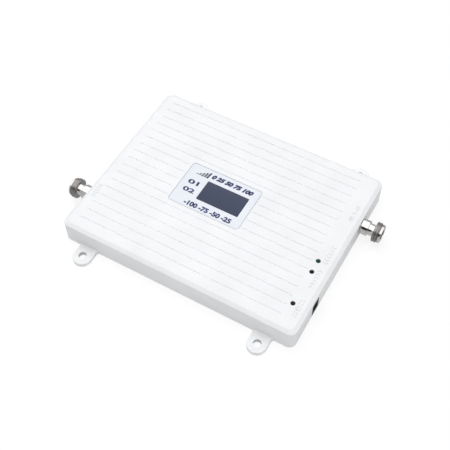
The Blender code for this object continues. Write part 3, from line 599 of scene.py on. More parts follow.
def plain_finish(
    name, dark, light, roughness, metallic=0.0, scale=800.0, height=0.004,
    stretch=(1.0, 1.0, 1.0), shine=0.5,
):
    """Finish of one grain, which drives the colour, the roughness and the relief (height in mm)."""
    finish = Finish(name, metallic)
    finish.set(Specular_IOR_Level=shine)
    grain = finish.noise(scale, 4.0, stretch)
    finish.colour(grain, dark, light)
    finish.roughness(grain, roughness * 0.8, roughness * 1.2)
    finish.bump(grain, height * MM)
    return finish.material


def solder_mask():
    """Green board: copper tracks show through the mask as lighter lines."""
    finish = Finish("solder_mask")
    inputs = {
        "Scale": 140.0,
        "Mortar Size": 0.02,
        "Color1": (0.008, 0.095, 0.040, 1.0),
        "Color2": (0.010, 0.110, 0.048, 1.0),
        "Mortar": (0.020, 0.200, 0.085, 1.0),
        "Vector": finish.place,
    }
    tracks = finish.node("TexBrick", inputs, offset=0.35, squash=0.6, squash_frequency=3)
    finish.feed(finish.shader.inputs["Base Color"], tracks.outputs["Color"])
    finish.bump(tracks.outputs["Fac"], 0.02 * MM)
    finish.roughness(finish.noise(600.0), 0.26, 0.40)
    return finish.material


PAINT = white_paint()
FILM = label_film()
NAVY_INK = coated(
    "navy_ink", (1500.0, 3.0), (0.008, 0.012, 0.080), (0.013, 0.018, 0.110), (2500.0, 2.0), 0.40, 0.55
).material
GREY_INK = fading_ink()
ACRYLIC = coated(
    "smoked_acrylic", (18.0, 2.0), (0.034, 0.047, 0.086), (0.040, 0.051, 0.106), (400.0, 2.0),
    0.08, 0.14, 0.3,
).material
NICKEL = turned_metal(
    "polished_nickel", (0.640, 0.625, 0.600), (0.720, 0.705, 0.680), NICKEL_LINES, NICKEL_RELIEF,
    0.10, 0.20,
)
JACK_NICKEL = jack_nickel()
GOLD = turned_metal("gold_plate", (0.74, 0.50, 0.18), (0.84, 0.60, 0.25), 0.08 * MM, 0.0, 0.16, 0.28)
GREEN_LAMP = lamp_epoxy("green_lamp", (0.000, 0.040, 0.024), (0.001, 0.075, 0.042))
DARK_LAMP = lamp_epoxy("dark_lamp", (0.004, 0.004, 0.006), (0.008, 0.008, 0.012))
RED_LAMP = lamp_epoxy("red_lamp", (0.018, 0.004, 0.006), (0.034, 0.006, 0.009))
BLACK = plain_finish(
    "black_moulding", (0.008, 0.008, 0.009), (0.016, 0.016, 0.018), 0.55, scale=2500.0, shine=0.12
)
PTFE = plain_finish("white_fluoroplastic", (0.76, 0.76, 0.74), (0.82, 0.82, 0.80), 0.42)
ZINC = plain_finish("zinc_plate", (0.42, 0.42, 0.43), (0.52, 0.52, 0.53), 0.34, 1.0, 1800.0)
SHEET = plain_finish(
    "brushed_aluminium", (0.58, 0.59, 0.60), (0.68, 0.69, 0.70), 0.38, 1.0, 900.0, 0.003, (0.02, 1.0, 1.0)
)
DISPLAY = plain_finish(
    "display_glass", (0.022, 0.026, 0.046), (0.032, 0.037, 0.062), 0.10, scale=60.0, height=0.0005
)
CAN = plain_finish("tinned_sheet", (0.54, 0.54, 0.52), (0.64, 0.64, 0.62), 0.30, 1.0, 500.0)
CHIP = plain_finish("chip_epoxy", (0.014, 0.014, 0.014), (0.028, 0.028, 0.028), 0.55, scale=5000.0)
CERAMIC = plain_finish("silvered_ceramic", (0.50, 0.48, 0.43), (0.60, 0.58, 0.53), 0.32, scale=1200.0)
FERRITE = plain_finish("ferrite", (0.060, 0.060, 0.068), (0.100, 0.100, 0.110), 0.60, scale=3000.0)
CAPACITOR = plain_finish("capacitor_sleeve", (0.50, 0.51, 0.55), (0.60, 0.61, 0.65), 0.30, 1.0, 900.0)
SILICONE = plain_finish(
    "silicone_pad", (0.21, 0.31, 0.41), (0.28, 0.38, 0.48), 0.80, scale=2000.0, height=0.01
)
SOLDER_MASK = solder_mask()

# the CAD nodes that stay, by material
NODE_FINISHES = [
    (SOLDER_MASK, ["main_board"]),
    (DISPLAY, ["display_panel"]),
    (BLACK, ["display_frame", "display_connector"]),
    (CERAMIC, ["outdoor_duplexer", "indoor_duplexer"]),
    (CHIP, ["uplink_amplifier", "uplink_preamp", "downlink_amplifier", "downlink_preamp"]),
    (CHIP, ["controller_chip", "regulator_chip"]),
    (FERRITE, ["power_inductor"]),
    (CAN, ["uplink_shield_can", "downlink_shield_can"]),
    (CAPACITOR, numbered("power_capacitor", 2)),
    (SILICONE, numbered("thermal_pad", 2)),
    (ZINC, ["outdoor_jack_washer", "indoor_jack_washer", *numbered("board_screw", BOARD_SCREWS)]),
    (NICKEL, ["outdoor_jack_nut", "indoor_jack_nut"]),
]


def finish_cad_nodes():
    """Give each CAD node that stays its procedural material."""
    for material, names in NODE_FINISHES:
        for name in names:
            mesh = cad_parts[name].data
            mesh.materials.clear()
            mesh.materials.append(material)


# ---- housing ----

JACKS = {"outdoor_jack": -1, "indoor_jack": 1}
LAMPS = {
    "downlink_led": (GREEN_LAMP, "green_lens"),
    "uplink_led": (DARK_LAMP, "dark_lens"),
    "power_led": (RED_LAMP, "red_lens"),
}
LAMP_RADIUS = 1.68 * MM
LAMP_GAP = 0.12 * MM
LABEL_CORNER = 2.5 * MM
LENS_CORNER = 0.6 * MM
INLET_CORNER = 0.5 * MM


def screw_places(prefix, count):
    """Centres of numbered screws."""
    return [node_centre(name) for name in numbered(prefix, count)]


def wall_place(name, side):
    """Place with +Z straight out of an end wall, on the wall's outer face, at a node's centre line."""
    middle = node_centre(name)
    return outward((side * HALF_LENGTH, middle.y, middle.z), side)


def lipped_cut(outline_at, bottom, top, lip):
    """Sections of a cutter whose mouth widens by lip at the height top; outline_at takes a margin."""
    return [
        (outline_at(0.0), bottom),
        (outline_at(0.0), top - lip),
        (outline_at(lip), top),
        (outline_at(lip), top + OVERRUN),
    ]


def round_hole(centre, radius, bottom, top):
    """Sections of a cutter for a round hole with a softened mouth."""
    return lipped_cut(lambda margin: circle(centre, radius + margin), bottom, top, HOLE_LIP)


def body_mesh():
    """Solid block of the box with soft foot and roof edges."""
    line = [
        (3 * FOOT_CHAMFER, 0.0),
        (FOOT_CHAMFER, 0.0),
        (0.0, FOOT_CHAMFER),
        (0.0, ROOF_Z - TOP_CHAMFER_HEIGHT),
        (TOP_CHAMFER_WIDTH, ROOF_Z),
        (2 * TOP_CHAMFER_WIDTH, ROOF_Z),
    ]
    line = fillet(line, [FOOT_ROUNDING, FOOT_ROUNDING, CHAMFER_ROUNDING, ROOF_ROUNDING])
    return loft([(body_outline(inset), z) for inset, z in line])


def ear_meshes():
    """Meshes of the four ears, of their raised seats and of the holes through them."""
    top = EAR_THICKNESS
    line = [(EAR_FOOT_WIDTH, 0.0), (0.0, EAR_FOOT_HEIGHT), (0.0, top), (2 * EAR_EDGE, top)]
    line = fillet(line, [EAR_FOOT_ROUNDING, EAR_EDGE])
    seat_line = from_mm(SEAT_SECTION, (0.0, top))
    ears = []
    seats = []
    holes = []
    for x in (-EAR_X, EAR_X):
        for side in (-1, 1):
            centre = (x, side * EAR_HOLE_Y)
            ears.append([(ear_outline(x, side, inset), z) for inset, z in line])
            seats.append([(circle(centre, EAR_SEAT_RADIUS - inset), z) for inset, z in seat_line])
            holes.append(round_hole(centre, EAR_HOLE_RADIUS, -OVERRUN, top + EAR_SEAT_RISE))
    return loft(*ears), loft(*seats), loft(*holes)


def groove_mesh():
    """Cutter of the cooling grooves, broken where the label lies, with softened lips."""
    label_y = (LABEL_LOW.y + LABEL_HIGH.y) / 2
    reach = (LABEL_HIGH.y - LABEL_LOW.y) / 2 + GROOVE_BESIDE_LABEL
    label_left = LABEL_LOW.x - GROOVE_TO_LABEL
    label_right = LABEL_HIGH.x + GROOVE_TO_LABEL
    grooves = []
    for row in range(GROOVE_COUNT):
        y = GROOVE_CENTRE_Y + (row - (GROOVE_COUNT - 1) / 2) * GROOVE_PITCH
        runs = [(GROOVE_LEFT, GROOVE_RIGHT)]
        if abs(y - label_y) < reach:
            runs = [(GROOVE_LEFT, label_left), (label_right, GROOVE_RIGHT)]
        for start, end in runs:
            groove = []
            for half, height in GROOVE_SECTION:
                groove.append((slot_outline(start, end, y, half * MM), ROOF_Z + height * MM))
            grooves.append(groove)
    return loft(*grooves)


def label_outline(margin):
    """Outline of the label, widened by margin."""
    return outline_round(LABEL_LOW, LABEL_HIGH, margin, LABEL_CORNER + margin, 8)


def lens_outline(margin):
    """Outline of the display's lens, widened by margin."""
    return outline_round(LENS_LOW, LENS_HIGH, margin, LENS_CORNER, 3)


def inlet_outline(margin, radius, steps):
    """Outline of the power inlet's face about its centre, widened by margin."""
    low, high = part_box("dc_inlet_body")
    height = high.z - low.z
    width = high.y - low.y
    return rounded_rectangle(height + 2 * margin, width + 2 * margin, radius, steps=steps)


def roof_cutters():
    """Cutters of the label's bed, the display window and the lamps' holes."""
    bed = lipped_cut(lambda margin: label_outline(GAP + margin), LABEL_LOW.z - GAP, ROOF_Z, BED_LIP)
    bottom = CEILING - OVERRUN
    holes = [lipped_cut(lambda margin: lens_outline(GAP + margin), bottom, ROOF_Z, BED_LIP)]
    for name in LAMPS:
        holes.append(round_hole(node_centre(name), LAMP_RADIUS + LAMP_GAP, bottom, ROOF_Z))
    return loft(bed), loft(*holes)


def inlet_cutter():
    """Cutter of the power inlet's opening, with a softened mouth, about the inlet's centre."""
    def outline_at(margin):
        return inlet_outline(GAP + margin, INLET_CORNER + GAP + margin, 4)

    return loft(lipped_cut(outline_at, -2 * WALL, 0.0, INLET_LIP))


# ---- shallow pictograms cast into the roof, in millimetres about each one's middle ----

MARK_DEPTH = 0.4 * MM
MARK_X = 89.6 * MM
STROKE = 0.75
HALF_MARK = 1.7


def chevrons(direction):
    """Row of six arrow heads along Y that point one way."""
    count = 6
    pitch = 3.0
    rise = 1.8 * direction
    thickness = 1.1 * direction
    outlines = []
    for index in range(count):
        y = (index - (count - 1) / 2) * pitch - (rise + thickness) / 2
        lower = [(-HALF_MARK, y), (0.0, y + rise), (HALF_MARK, y)]
        upper = [(x, py + thickness) for x, py in reversed(lower)]
        outlines.append(lower + upper)
    return outlines


def signal_bars(middle_y):
    """Three bars along Y that grow from one end to the other."""
    count = 3
    pitch = 1.7
    thickness = 1.0
    outlines = []
    for index in range(count):
        y = (index - (count - 1) / 2) * pitch + middle_y
        height = 2 * HALF_MARK * (index + 1.5) / (count + 0.5)
        outlines.append(rectangle(HALF_MARK - height, y, HALF_MARK, y + thickness))
    return outlines


def ring_part(radius, start, end, steps=10):
    """Outline of part of a ring as thick as the marks' strokes."""
    outer = arc((0.0, 0.0), radius, start, end, steps)
    inner = arc((0.0, 0.0), radius - STROKE, end, start, steps)
    return outer + inner


def waves(radii, directions):
    """Radio waves as wide as a mark, which leave its middle in each direction in degrees."""
    outlines = []
    for radius in radii:
        half_angle = math.degrees(math.asin(HALF_MARK / radius))
        for direction in directions:
            outlines.append(ring_part(radius, direction - half_angle, direction + half_angle))
    return outlines


def power_mark():
    """Power symbol between two pairs of dashes on each side."""
    outlines = [ring_part(2.0, 215, 505, 20), rectangle(-2.3, -STROKE / 2, -0.2, STROKE / 2)]
    half_dash = 0.9
    for side in (-1, 1):
        for offset in (4.0, 6.7):
            y = side * offset
            for x in (-1.5, 0.7):
                outlines.append(rectangle(x, y - half_dash, x + STROKE, y + half_dash))
    return outlines


def mast_mark():
    """Mast between radio waves on each side."""
    return [rectangle(-HALF_MARK, -STROKE / 2, HALF_MARK, STROKE / 2)] + waves((2.6, 4.4, 6.2), (90, 270))


def house_mark():
    """House between signal bars and waves."""
    house = [(-0.2, -1.8), (HALF_MARK, -1.8), (HALF_MARK, 1.8), (-0.2, 1.8), (-1.8, 0.0)]
    return [house] + signal_bars(4.9) + waves((3.4, 5.1, 6.8), (270,))


def mark_cutter():
    """All the pictograms as one cutter: (middle x, middle y, outlines) each."""
    outdoor = node_centre("outdoor_jack_body")
    indoor = node_centre("indoor_jack_body")
    marks = [
        (MARK_X, indoor.y, house_mark()),
        (MARK_X, -6.0 * MM, chevrons(-1)),
        (MARK_X, -29.0 * MM, chevrons(1)),
        (MARK_X, -56.0 * MM, power_mark()),
        (-MARK_X - 0.8 * MM, outdoor.y, mast_mark()),
    ]
    outlines = []
    for x, y, shapes in marks:
        outlines += [from_mm(outline, (x, y)) for outline in shapes]
    return prism(outlines, ROOF_Z - MARK_DEPTH, ROOF_Z + OVERRUN)


def build_housing():
    """Die-cast housing with grooves, ears, label bed, pictograms and openings."""
    ears, seats, ear_holes = ear_meshes()
    bed, roof_holes = roof_cutters()
    boss_top = CEILING + ROOF / 2
    hole_top = CEILING + GAP
    over_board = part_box("main_board")[1].z + GAP
    cover_places = screw_places("cover_screw", COVER_SCREWS)
    board_places = screw_places("board_screw", BOARD_SCREWS)
    steps = [
        (CUT, prism([body_outline(WALL)], -OVERRUN, CEILING)),
        (JOIN, posts(cover_places, SCREW_BOSS_RADIUS, COVER_THICKNESS, boss_top)),
        (JOIN, posts(board_places, BOARD_BOSS_RADIUS, over_board, boss_top)),
        (CUT, prism([body_outline(COVER_INSET)], -OVERRUN, COVER_THICKNESS + GAP)),
        (JOIN, ears),
        (JOIN, seats),
        (CUT, ear_holes),
        (CUT, bed),
        (CUT, groove_mesh()),
        (CUT, roof_holes),
        (CUT, mark_cutter()),
        (CUT, posts(cover_places, SCREW_HOLE_RADIUS, 0.0, COVER_HOLE_TOP, SCREW_HOLE_STEPS)),
        (CUT, posts(board_places, SCREW_HOLE_RADIUS, over_board - OVERRUN, hole_top, SCREW_HOLE_STEPS)),
    ]
    for prefix, side in JACKS.items():
        jack_hole = posts([(0.0, 0.0)], JACK_HOLE_RADIUS, -WALL, WALL)
        steps.append((CUT, jack_hole, wall_place(prefix + "_body", side)))
    steps.append((CUT, inlet_cutter(), wall_place("dc_inlet_body", 1)))
    housing = shape("housing", body_mesh(), steps)
    normals = housing.modifiers.new("even_normals", "WEIGHTED_NORMAL")
    normals.keep_sharp = True
    settle(housing, PAINT, "white_paint", "housing_shell")


# ---- bottom cover and its screws ----

COVER_EDGE = 0.15 * MM
SCREW_SINK = 0.1 * MM
SCREW_HEAD_RADIUS = 2.6 * MM
SCREW_RADIUS = 1.2 * MM
SCREW_LENGTH = 9.0 * MM
SCREW_PITCH = 0.5 * MM
SCREW_THREAD_DEPTH = 0.18 * MM
# cross recess of a screw's head: span of the cross, width of its arms, depth
RECESS = (2.7 * MM, 0.6 * MM, 1.3 * MM)


def build_bottom_cover():
    """Sheet-metal cover with softened edges and countersunk holes."""
    inset = COVER_INSET + GAP
    edge = COVER_EDGE
    top = COVER_THICKNESS
    sections = [
        (body_outline(inset + edge), 0.0),
        (body_outline(inset), edge),
        (body_outline(inset), top - edge),
        (body_outline(inset + edge), top),
    ]
    head = SCREW_HEAD_RADIUS + GAP
    radius = SCREW_HOLE_RADIUS
    neck = SCREW_SINK + head - radius
    line = [(head, -OVERRUN), (head, SCREW_SINK), (radius, neck), (radius, 3 * OVERRUN)]
    holes = []
    for place in screw_places("cover_screw", COVER_SCREWS):
        holes.append([(circle(place, reach), z) for reach, z in line])
    cover = shape("bottom_plate", loft(sections), [(CUT, loft(*holes))])
    settle(cover, SHEET, "cover_metal", "bottom_cover")


def cross_recess():
    """Cross recess of a screw head, narrower towards its floor, from z = 0 upwards."""
    length, width, depth = RECESS
    sections = []
    for share, z in ((1.15, -OVERRUN), (1.0, 0.0), (0.55, depth)):
        sections.append((cross_outline(length / 2 * share, width / 2), z))
    return loft(sections)


def build_cover_screws():
    """Six countersunk screws with cross recesses and a fine thread."""
    head = SCREW_HEAD_RADIUS
    neck = SCREW_SINK + head - SCREW_RADIUS
    start = neck + 0.3 * MM
    end = SCREW_LENGTH - 0.5 * MM
    profile = [(0.0, SCREW_SINK), (head - 0.15 * MM, SCREW_SINK), (head, 2 * SCREW_SINK)]
    profile.append((SCREW_RADIUS, neck))
    profile += cylinder_line(SCREW_RADIUS, start, end, 60)
    profile += [(SCREW_RADIUS - 0.3 * MM, SCREW_LENGTH), (0.0, SCREW_LENGTH)]
    thread = screw_thread(start, end, SCREW_PITCH, SCREW_THREAD_DEPTH)
    for node in numbered("cover_screw", COVER_SCREWS):
        middle = node_centre(node)
        place = Matrix.Translation((middle.x, middle.y, 0.0))
        base = lathe(profile, threads=[thread])
        screw = shape(node + "_detailed", base, [(CUT, cross_recess())], place)
        settle(screw, ZINC, "screw_steel", node)


# ---- label, its print, lens and lamps ----

LABEL_TOP = ROOF_Z - 0.07 * MM
PRINT_TOP = ROOF_Z - 0.03 * MM
PRINT_THICKNESS = 0.05 * MM
LABEL_EDGE = 0.12 * MM
LENS_EDGE = 0.25 * MM
LAMP_FLANGE = 1.0 * MM
LAMP_DOME = 0.9 * MM


def soft_top(outline_at, top, edge, share):
    """Sections of a slab's upper edge, rounded over edge by way of a point at a share of it."""
    steps = ((0.0, edge), (share * edge, share * edge), (edge, 0.0))
    return [(outline_at(-inset), top - drop) for inset, drop in steps]


def build_label():
    """Printed film in its bed, with soft edges and a hole for the lens."""
    sections = [(label_outline(0.0), LABEL_LOW.z)] + soft_top(label_outline, LABEL_TOP, LABEL_EDGE, 1 / 3)
    hole = prism([lens_outline(GAP)], LABEL_LOW.z - OVERRUN, ROOF_Z + OVERRUN)
    label = shape("label_film", loft(sections), [(CUT, hole)])
    settle(label, FILM, "label_print", "overlay_label")


def print_level_bars():
    """Five rising bars that lean to the right, placed in millimetres about the lens's middle."""
    count = 5
    left = -30.0
    bottom = 11.3
    pitch = 2.15
    thickness = 1.65
    tallest = 6.0
    lean = 0.18
    outlines = []
    for index in range(count):
        x = left + index * pitch
        height = tallest * (index + 1) / count
        top = bottom + height
        shift = lean * height
        bar = [(x, bottom), (x + thickness, bottom), (x + thickness + shift, top), (x + shift, top)]
        outlines.append(from_mm(bar, LENS_MIDDLE))
    bars = prism(outlines, LABEL_TOP - PRINT_THICKNESS, PRINT_TOP)
    settle(shape("label_level_bars", bars), GREY_INK, "label_print")


def print_numbers(name, text, corner, size, slant, weight):
    """Row of numbers on the label; corner (lower left, about the lens's middle) and size in mm."""
    curve = bpy.data.curves.new(name, "FONT")
    curve.body = text
    curve.shear = slant
    curve.offset = weight
    curve.fill_mode = "BOTH"
    curve.extrude = 0.05
    source = add_object(name + "_source", curve)
    mesh = evaluated_mesh(source)
    bpy.data.objects.remove(source)
    low = Vector([min(vertex.co[axis] for vertex in mesh.vertices) for axis in range(3)])
    high = Vector([max(vertex.co[axis] for vertex in mesh.vertices) for axis in range(3)])
    start = (*from_mm([corner], LENS_MIDDLE)[0], PRINT_TOP - PRINT_THICKNESS)
    target = (*from_mm([size])[0], PRINT_THICKNESS)
    for vertex in mesh.vertices:
        for axis in range(3):
            share = (vertex.co[axis] - low[axis]) / (high[axis] - low[axis])
            vertex.co[axis] = start[axis] + share * target[axis]
    mesh.name = name
    settle(add_object(name, mesh), NAVY_INK, "label_print")


def build_label_print():
    """Generic marks: level bars, two channel numbers and two number scales."""
    print_level_bars()
    print_numbers("label_channel_1", "01", (-31.7, 0.9), (9.0, 4.2), 0.0, 0.035)
    print_numbers("label_channel_2", "02", (-31.7, -7.1), (9.6, 4.2), 0.0, 0.035)
    print_numbers("label_percent_scale", "0 25 50 75 100", (-17.4, 12.6), (35.6, 4.4), 0.28, 0.07)
    print_numbers("label_level_scale", "-100 -75 -50 -25", (-24.4, -18.0), (40.2, 4.6), 0.0, 0.05)


def build_lens():
    """Smoked window with softened edges."""
    sections = [(lens_outline(-LENS_EDGE), LENS_LOW.z), (lens_outline(0.0), LENS_LOW.z + LENS_EDGE)]
    sections += soft_top(lens_outline, LENS_HIGH.z, LENS_EDGE, 0.3)
    settle(shape("lens", loft(sections)), ACRYLIC, "lens_smoke", "display_lens")


def build_lamps():
    """Three domed lamps that stand in their holes in the roof."""
    for name, (material, slot) in LAMPS.items():
        low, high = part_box(name)
        middle = (low + high) / 2
        flange = (high.x - low.x) / 2
        flange_top = low.z + LAMP_FLANGE
        dome = high.z - LAMP_DOME
        profile = [(0.0, low.z), (flange, low.z), (flange, flange_top), (LAMP_RADIUS, flange_top)]
        profile.append((LAMP_RADIUS, dome))
        for angle in range(10, 90, 10):
            turn = math.radians(angle)
            profile.append((LAMP_RADIUS * math.cos(turn), dome + (high.z - dome) * math.sin(turn)))
        profile.append((0.0, high.z))
        place = Matrix.Translation((middle.x, middle.y, 0.0))
        lamp = shape(name + "_lamp", lathe(profile), place=place)
        settle(lamp, material, slot, name)


# ---- antenna jacks ----

THREAD_PITCH = 1.06 * MM
THREAD_DEPTH = 0.42 * MM
RING_BEVEL = 0.3 * MM
SHANK_RADIUS = 4.7 * MM
SHANK_LENGTH = 9.0 * MM
SHANK_THREAD_START = -SHANK_LENGTH + 0.4 * MM
SHANK_PITCH = 0.8 * MM
SHANK_THREAD_DEPTH = 0.25 * MM
MOUTH_RADIUS = 4.3 * MM
MOUTH_DEPTH = 4.9 * MM
BORE_RADIUS = 3.45 * MM
INSULATOR_BORE = 1.8 * MM
INSULATOR_EDGE = 0.2 * MM
# the contact's tip lies this far inside the jack's front face, and is slit crosswise
TIP_SINK = 2.2 * MM
SLIT_WIDTH = 0.3 * MM
SLIT_LENGTH = 2.8 * MM
SLIT_REACH = 3.0 * MM


def jack_profile():
    """Closed outline of the jack body from the shank's back end round to the bore."""
    profile = [(SHANK_RADIUS - 0.3 * MM, -SHANK_LENGTH), (SHANK_RADIUS, -SHANK_LENGTH + 0.3 * MM)]
    profile += cylinder_line(SHANK_RADIUS, SHANK_THREAD_START, 0.0, 40)
    # base and neck
    profile += from_mm([(4.7, 0.3), (5.75, 0.3), (5.95, 0.5), (5.95, 5.55), (5.88, 5.8), (5.65, 6.0)])
    profile += from_mm([(4.9, 6.0), (4.65, 6.1), (4.6, 6.3), (4.6, 10.2), (4.75, 10.5), (5.1, 10.6)])
    # threaded ring
    profile += from_mm([(7.35, 10.6), (7.75, 10.75)])
    profile += cylinder_line(RING_RADIUS, RING_START + RING_BEVEL, RING_END - RING_BEVEL, 28)
    profile += from_mm([(7.7, 14.05), (7.3, 14.2)])
    # groove and lip, then the mouth, measured back from the front face
    profile += from_mm([(6.95, 14.25), (6.9, 14.4), (6.9, 14.65), (7.0, 14.8), (7.15, 14.9)])
    lip = [(7.2, -1.85), (7.2, -0.75), (7.1, -0.6), (6.85, -0.5), (6.8, -0.2), (6.6, 0.0)]
    mouth = [(4.6, 0.0), (4.3, -0.3)]
    profile += from_mm(lip + mouth, (0.0, JACK_REACH))
    mouth_floor = JACK_REACH - MOUTH_DEPTH
    profile += [(MOUTH_RADIUS, mouth_floor), (BORE_RADIUS, mouth_floor), (BORE_RADIUS, -SHANK_LENGTH)]
    return profile


def insulator_profile():
    """Closed outline of the white sleeve between the jack's body and its contact."""
    front = JACK_REACH - MOUTH_DEPTH + GAP
    back = -SHANK_LENGTH + GAP
    inner = INSULATOR_BORE
    outer = BORE_RADIUS - GAP
    edge = INSULATOR_EDGE
    profile = [(inner, back), (outer - edge, back), (outer, back + edge), (outer, front - edge)]
    profile += [(outer - edge, front), (inner + edge, front), (inner, front - edge)]
    return profile


def build_jack(prefix, side):
    """One coaxial antenna jack: body with two threads, insulator and slit centre contact."""
    place = wall_place(prefix + "_body", side)
    threads = [
        screw_thread(RING_START, RING_END, THREAD_PITCH, THREAD_DEPTH, RING_RADIUS - 2 * THREAD_DEPTH),
        screw_thread(SHANK_THREAD_START, -WALL, SHANK_PITCH, SHANK_THREAD_DEPTH, fades=False),
    ]
    base = lathe(jack_profile(), ROUND_STEPS, threads)
    settle(shape(prefix + "_shell", base, place=place), JACK_NICKEL, "nickel", prefix + "_body")

    insulator = shape(prefix + "_dielectric", lathe(insulator_profile(), ROUND_STEPS), place=place)
    settle(insulator, PTFE, "white_insulator", prefix + "_insulator")

    tip = JACK_REACH - TIP_SINK
    profile = from_mm([(0.0, -18.0), (0.45, -18.0), (0.6, -17.8), (0.6, -9.0), (1.4, -9.0), (1.5, -8.9)])
    socket = [(1.5, -0.3), (1.3, 0.0), (0.95, 0.0), (0.8, -0.25), (0.8, -4.0), (0.0, -4.4)]
    profile += from_mm(socket, (0.0, tip))
    slits = prism([cross_outline(SLIT_REACH, SLIT_WIDTH / 2)], tip - SLIT_LENGTH, tip + OVERRUN)
    contact = shape(prefix + "_socket", lathe(profile), [(CUT, slits)], place)
    settle(contact, GOLD, "gold", prefix + "_contact")


# ---- power inlet ----

# radii of the plug's bore at its mouth and inside, and its depth
INLET_MOUTH_RADIUS = 3.4 * MM
INLET_BORE_RADIUS = 3.1 * MM
INLET_BORE_DEPTH = 10.0 * MM
PIN_HOLE_RADIUS = 1.3 * MM


def build_power_inlet():
    """Moulded direct-current inlet with a softened face and socket, and its centre pin."""
    low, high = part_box("dc_inlet_body")
    pin_low, pin_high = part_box("dc_inlet_pin")
    board_low, board_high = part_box("main_board")
    middle = (low + high) / 2
    place = outward((high.x, middle.y, middle.z), 1)
    bore_place = outward((high.x, middle.y, (pin_low.z + pin_high.z) / 2), 1)
    width = high.y - low.y
    length = high.x - low.x
    sections = [(inlet_outline(0.0, INLET_CORNER, 3), -length)]
    for inset, z in from_mm([(0.0, -0.3), (0.08, -0.1), (0.3, 0.0)]):
        sections.append((inlet_outline(-inset, INLET_CORNER, 3), z))
    # the board's edge rests in a step cut from the top, behind the part that shows
    step = rectangle(-high.z + middle.z - OVERRUN, -width, middle.z - board_low.z + GAP, width)
    back = -length - OVERRUN
    mouth = INLET_MOUTH_RADIUS
    radius = INLET_BORE_RADIUS
    floor = -INLET_BORE_DEPTH
    bore = [(0.0, OVERRUN), (mouth, OVERRUN), (mouth, 0.0), (radius, radius - mouth), (radius, floor)]
    bore += [(PIN_HOLE_RADIUS, floor), (PIN_HOLE_RADIUS, back), (0.0, back)]
    steps = [
        (CUT, prism([step], back, board_high.x + GAP - high.x)),
        (CUT, lathe(bore), bore_place),
    ]
    body = shape("power_socket", loft(sections), steps, place)
    settle(body, BLACK, "black_plastic", "dc_inlet_body")

    profile = from_mm([(0.0, 0.0), (1.0, 0.0)], (0.0, pin_low.x - high.x))
    rounded_tip = [(1.0, -0.8), (0.92, -0.4), (0.7, -0.12), (0.35, 0.0), (0.0, 0.0)]
    profile += from_mm(rounded_tip, (0.0, pin_high.x - high.x))
    pin = shape("power_pin", lathe(profile), place=bore_place)
    settle(pin, NICKEL, "nickel", "dc_inlet_pin")


# ---- studio ----

# camera in metres and in degrees about X, Y and Z
CAMERA_LOCATION = (0.18936, -0.32598, 0.52233)
CAMERA_TURN = (35.2513, 0.3931, 29.6771)
CAMERA_LENS = 66.59
SENSOR_WIDTH = 36.0

# brightness of the studio round the X axis: degrees from the front horizon over the top, brightness
STUDIO_BANDS = [
    (-180, 0.23), (-120, 0.32), (-60, 0.35), (8, 0.30), (14, 0.012), (46, 0.012),
    (51, 0.83), (148, 0.83), (156, 0.32), (180, 0.23),
]
STUDIO_TINT = (0.975, 0.990, 1.015)
# the dark gap in front gives way to grey between these two directions to the left
SIDE_START = -0.28
SIDE_END = -0.42
SIDE_BRIGHTNESS = 0.30
CEILING_GLOSS = 1.9
FLOOR_HALF_SIZE = 2.0
FLOOR_DROP = 0.05 * MM
FLOOR_SHOWN = 0.80


def build_camera():
    """Camera that looks down on the box from the front right."""
    data = bpy.data.cameras.new("camera")
    data.lens = CAMERA_LENS
    data.sensor_width = SENSOR_WIDTH
    data.clip_start = 0.01
    camera = add_object("camera", data)
    camera.location = CAMERA_LOCATION
    camera.rotation_euler = [math.radians(angle) for angle in CAMERA_TURN]
    bpy.context.scene.camera = camera


def build_world():
    """Studio: a wide soft ceiling light, a dark gap in front and grey surroundings."""
    world = bpy.data.worlds.new("studio")
    bpy.context.scene.world = world
    world.use_nodes = True
    studio = Nodes(world.node_tree)
    direction = studio.axes(studio.node("TexCoord").outputs["Generated"])
    forward = studio.math("MULTIPLY", direction["Y"], -1.0)
    angle = studio.math("ARCTAN2", direction["Z"], forward)
    spread = studio.node("MapRange", {"Value": angle, "From Min": -math.pi, "From Max": math.pi})
    ramp = studio.node("ValToRGB", {"Fac": spread.outputs["Result"]})
    stops = ramp.color_ramp.elements
    while len(stops) < len(STUDIO_BANDS):
        stops.new(0.5)
    for stop, (degrees, level) in zip(stops, STUDIO_BANDS):
        stop.position = (degrees + 180) / 360
        stop.color = (level, level, level, 1.0)
    inputs = {"Value": direction["X"], "From Min": SIDE_START, "From Max": SIDE_END}
    left = studio.node("MapRange", {**inputs, "To Max": SIDE_BRIGHTNESS}).outputs["Result"]
    level = studio.math("MAXIMUM", ramp.outputs["Color"], left)
    sight = studio.node("LightPath").outputs
    gloss = studio.math("MULTIPLY", sight["Is Glossy Ray"], CEILING_GLOSS - 1.0)
    level = studio.math("MULTIPLY", level, studio.math("ADD", gloss, 1.0))
    inputs = {0: STUDIO_TINT, "Scale": level}
    tint = studio.node("VectorMath", inputs, operation="SCALE").outputs["Vector"]
    inputs = {"Fac": sight["Is Camera Ray"], "Color1": tint, "Color2": (1.0, 1.0, 1.0, 1.0)}
    pale = studio.node("MixRGB", inputs).outputs["Color"]
    studio.feed(world.node_tree.nodes["Background"].inputs["Color"], pale)


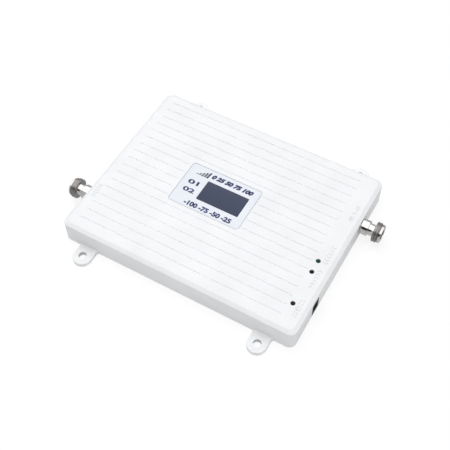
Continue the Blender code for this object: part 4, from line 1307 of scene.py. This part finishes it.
def build_floor():
    """Plain pale floor, lit from below where it is seen, so that its shadows stay faint."""
    half = FLOOR_HALF_SIZE
    mesh = bpy.data.meshes.new("floor")
    corners = [(x, y, 0.0) for x, y in rectangle(-half, -half, half, half)]
    mesh.from_pydata(corners, [], [(0, 1, 2, 3)])
    floor = add_object("floor", mesh)
    floor.location.z = -FLOOR_DROP
    finish = Finish("pale_floor")
    finish.colour(finish.noise(3.0), (0.925, 0.918, 0.905), (0.935, 0.928, 0.915))
    finish.set(Roughness=0.9, Specular_IOR_Level=0.0)
    finish.set(Emission_Color=(1.0, 1.0, 1.0, 1.0), Emission_Strength=0.06)
    glow = finish.node("Emission", {"Strength": 1.02}).outputs["Emission"]
    seen = finish.node("LightPath").outputs["Is Camera Ray"]
    share = finish.math("MULTIPLY", seen, FLOOR_SHOWN)
    mix = finish.node("MixShader", {"Fac": share, 1: finish.shader.outputs["BSDF"], 2: glow})
    finish.feed(finish.tree.nodes["Material Output"].inputs["Surface"], mix.outputs["Shader"])
    mesh.materials.append(finish.material)
    floor.visible_glossy = False


def add_softbox(name, place, size, power):
    """Large soft light that faces the box."""
    data = bpy.data.lights.new(name, "AREA")
    data.shape = "SQUARE"
    data.size = size
    data.energy = power
    turn = Vector(place).to_track_quat("Z", "Y").to_matrix().to_4x4()
    light = add_object(name, data, Matrix.Translation(place) @ turn)
    light.visible_glossy = False


def build_studio():
    """Camera, world, floor and lights."""
    bpy.context.scene.view_settings.view_transform = "Standard"
    build_camera()
    build_world()
    build_floor()
    add_softbox("key_softbox", (-0.22, 0.12, 1.1), 0.9, 5.1)
    add_softbox("front_softbox", (0.35, -1.15, 0.65), 0.8, 1.9)


# ---- assembly ----

def build_booster():
    """Every piece of the booster in its place."""
    finish_cad_nodes()
    build_housing()
    build_bottom_cover()
    build_cover_screws()
    build_label()
    build_label_print()
    build_lens()
    build_lamps()
    for prefix, side in JACKS.items():
        build_jack(prefix, side)
    build_power_inlet()


build_studio()
build_booster()
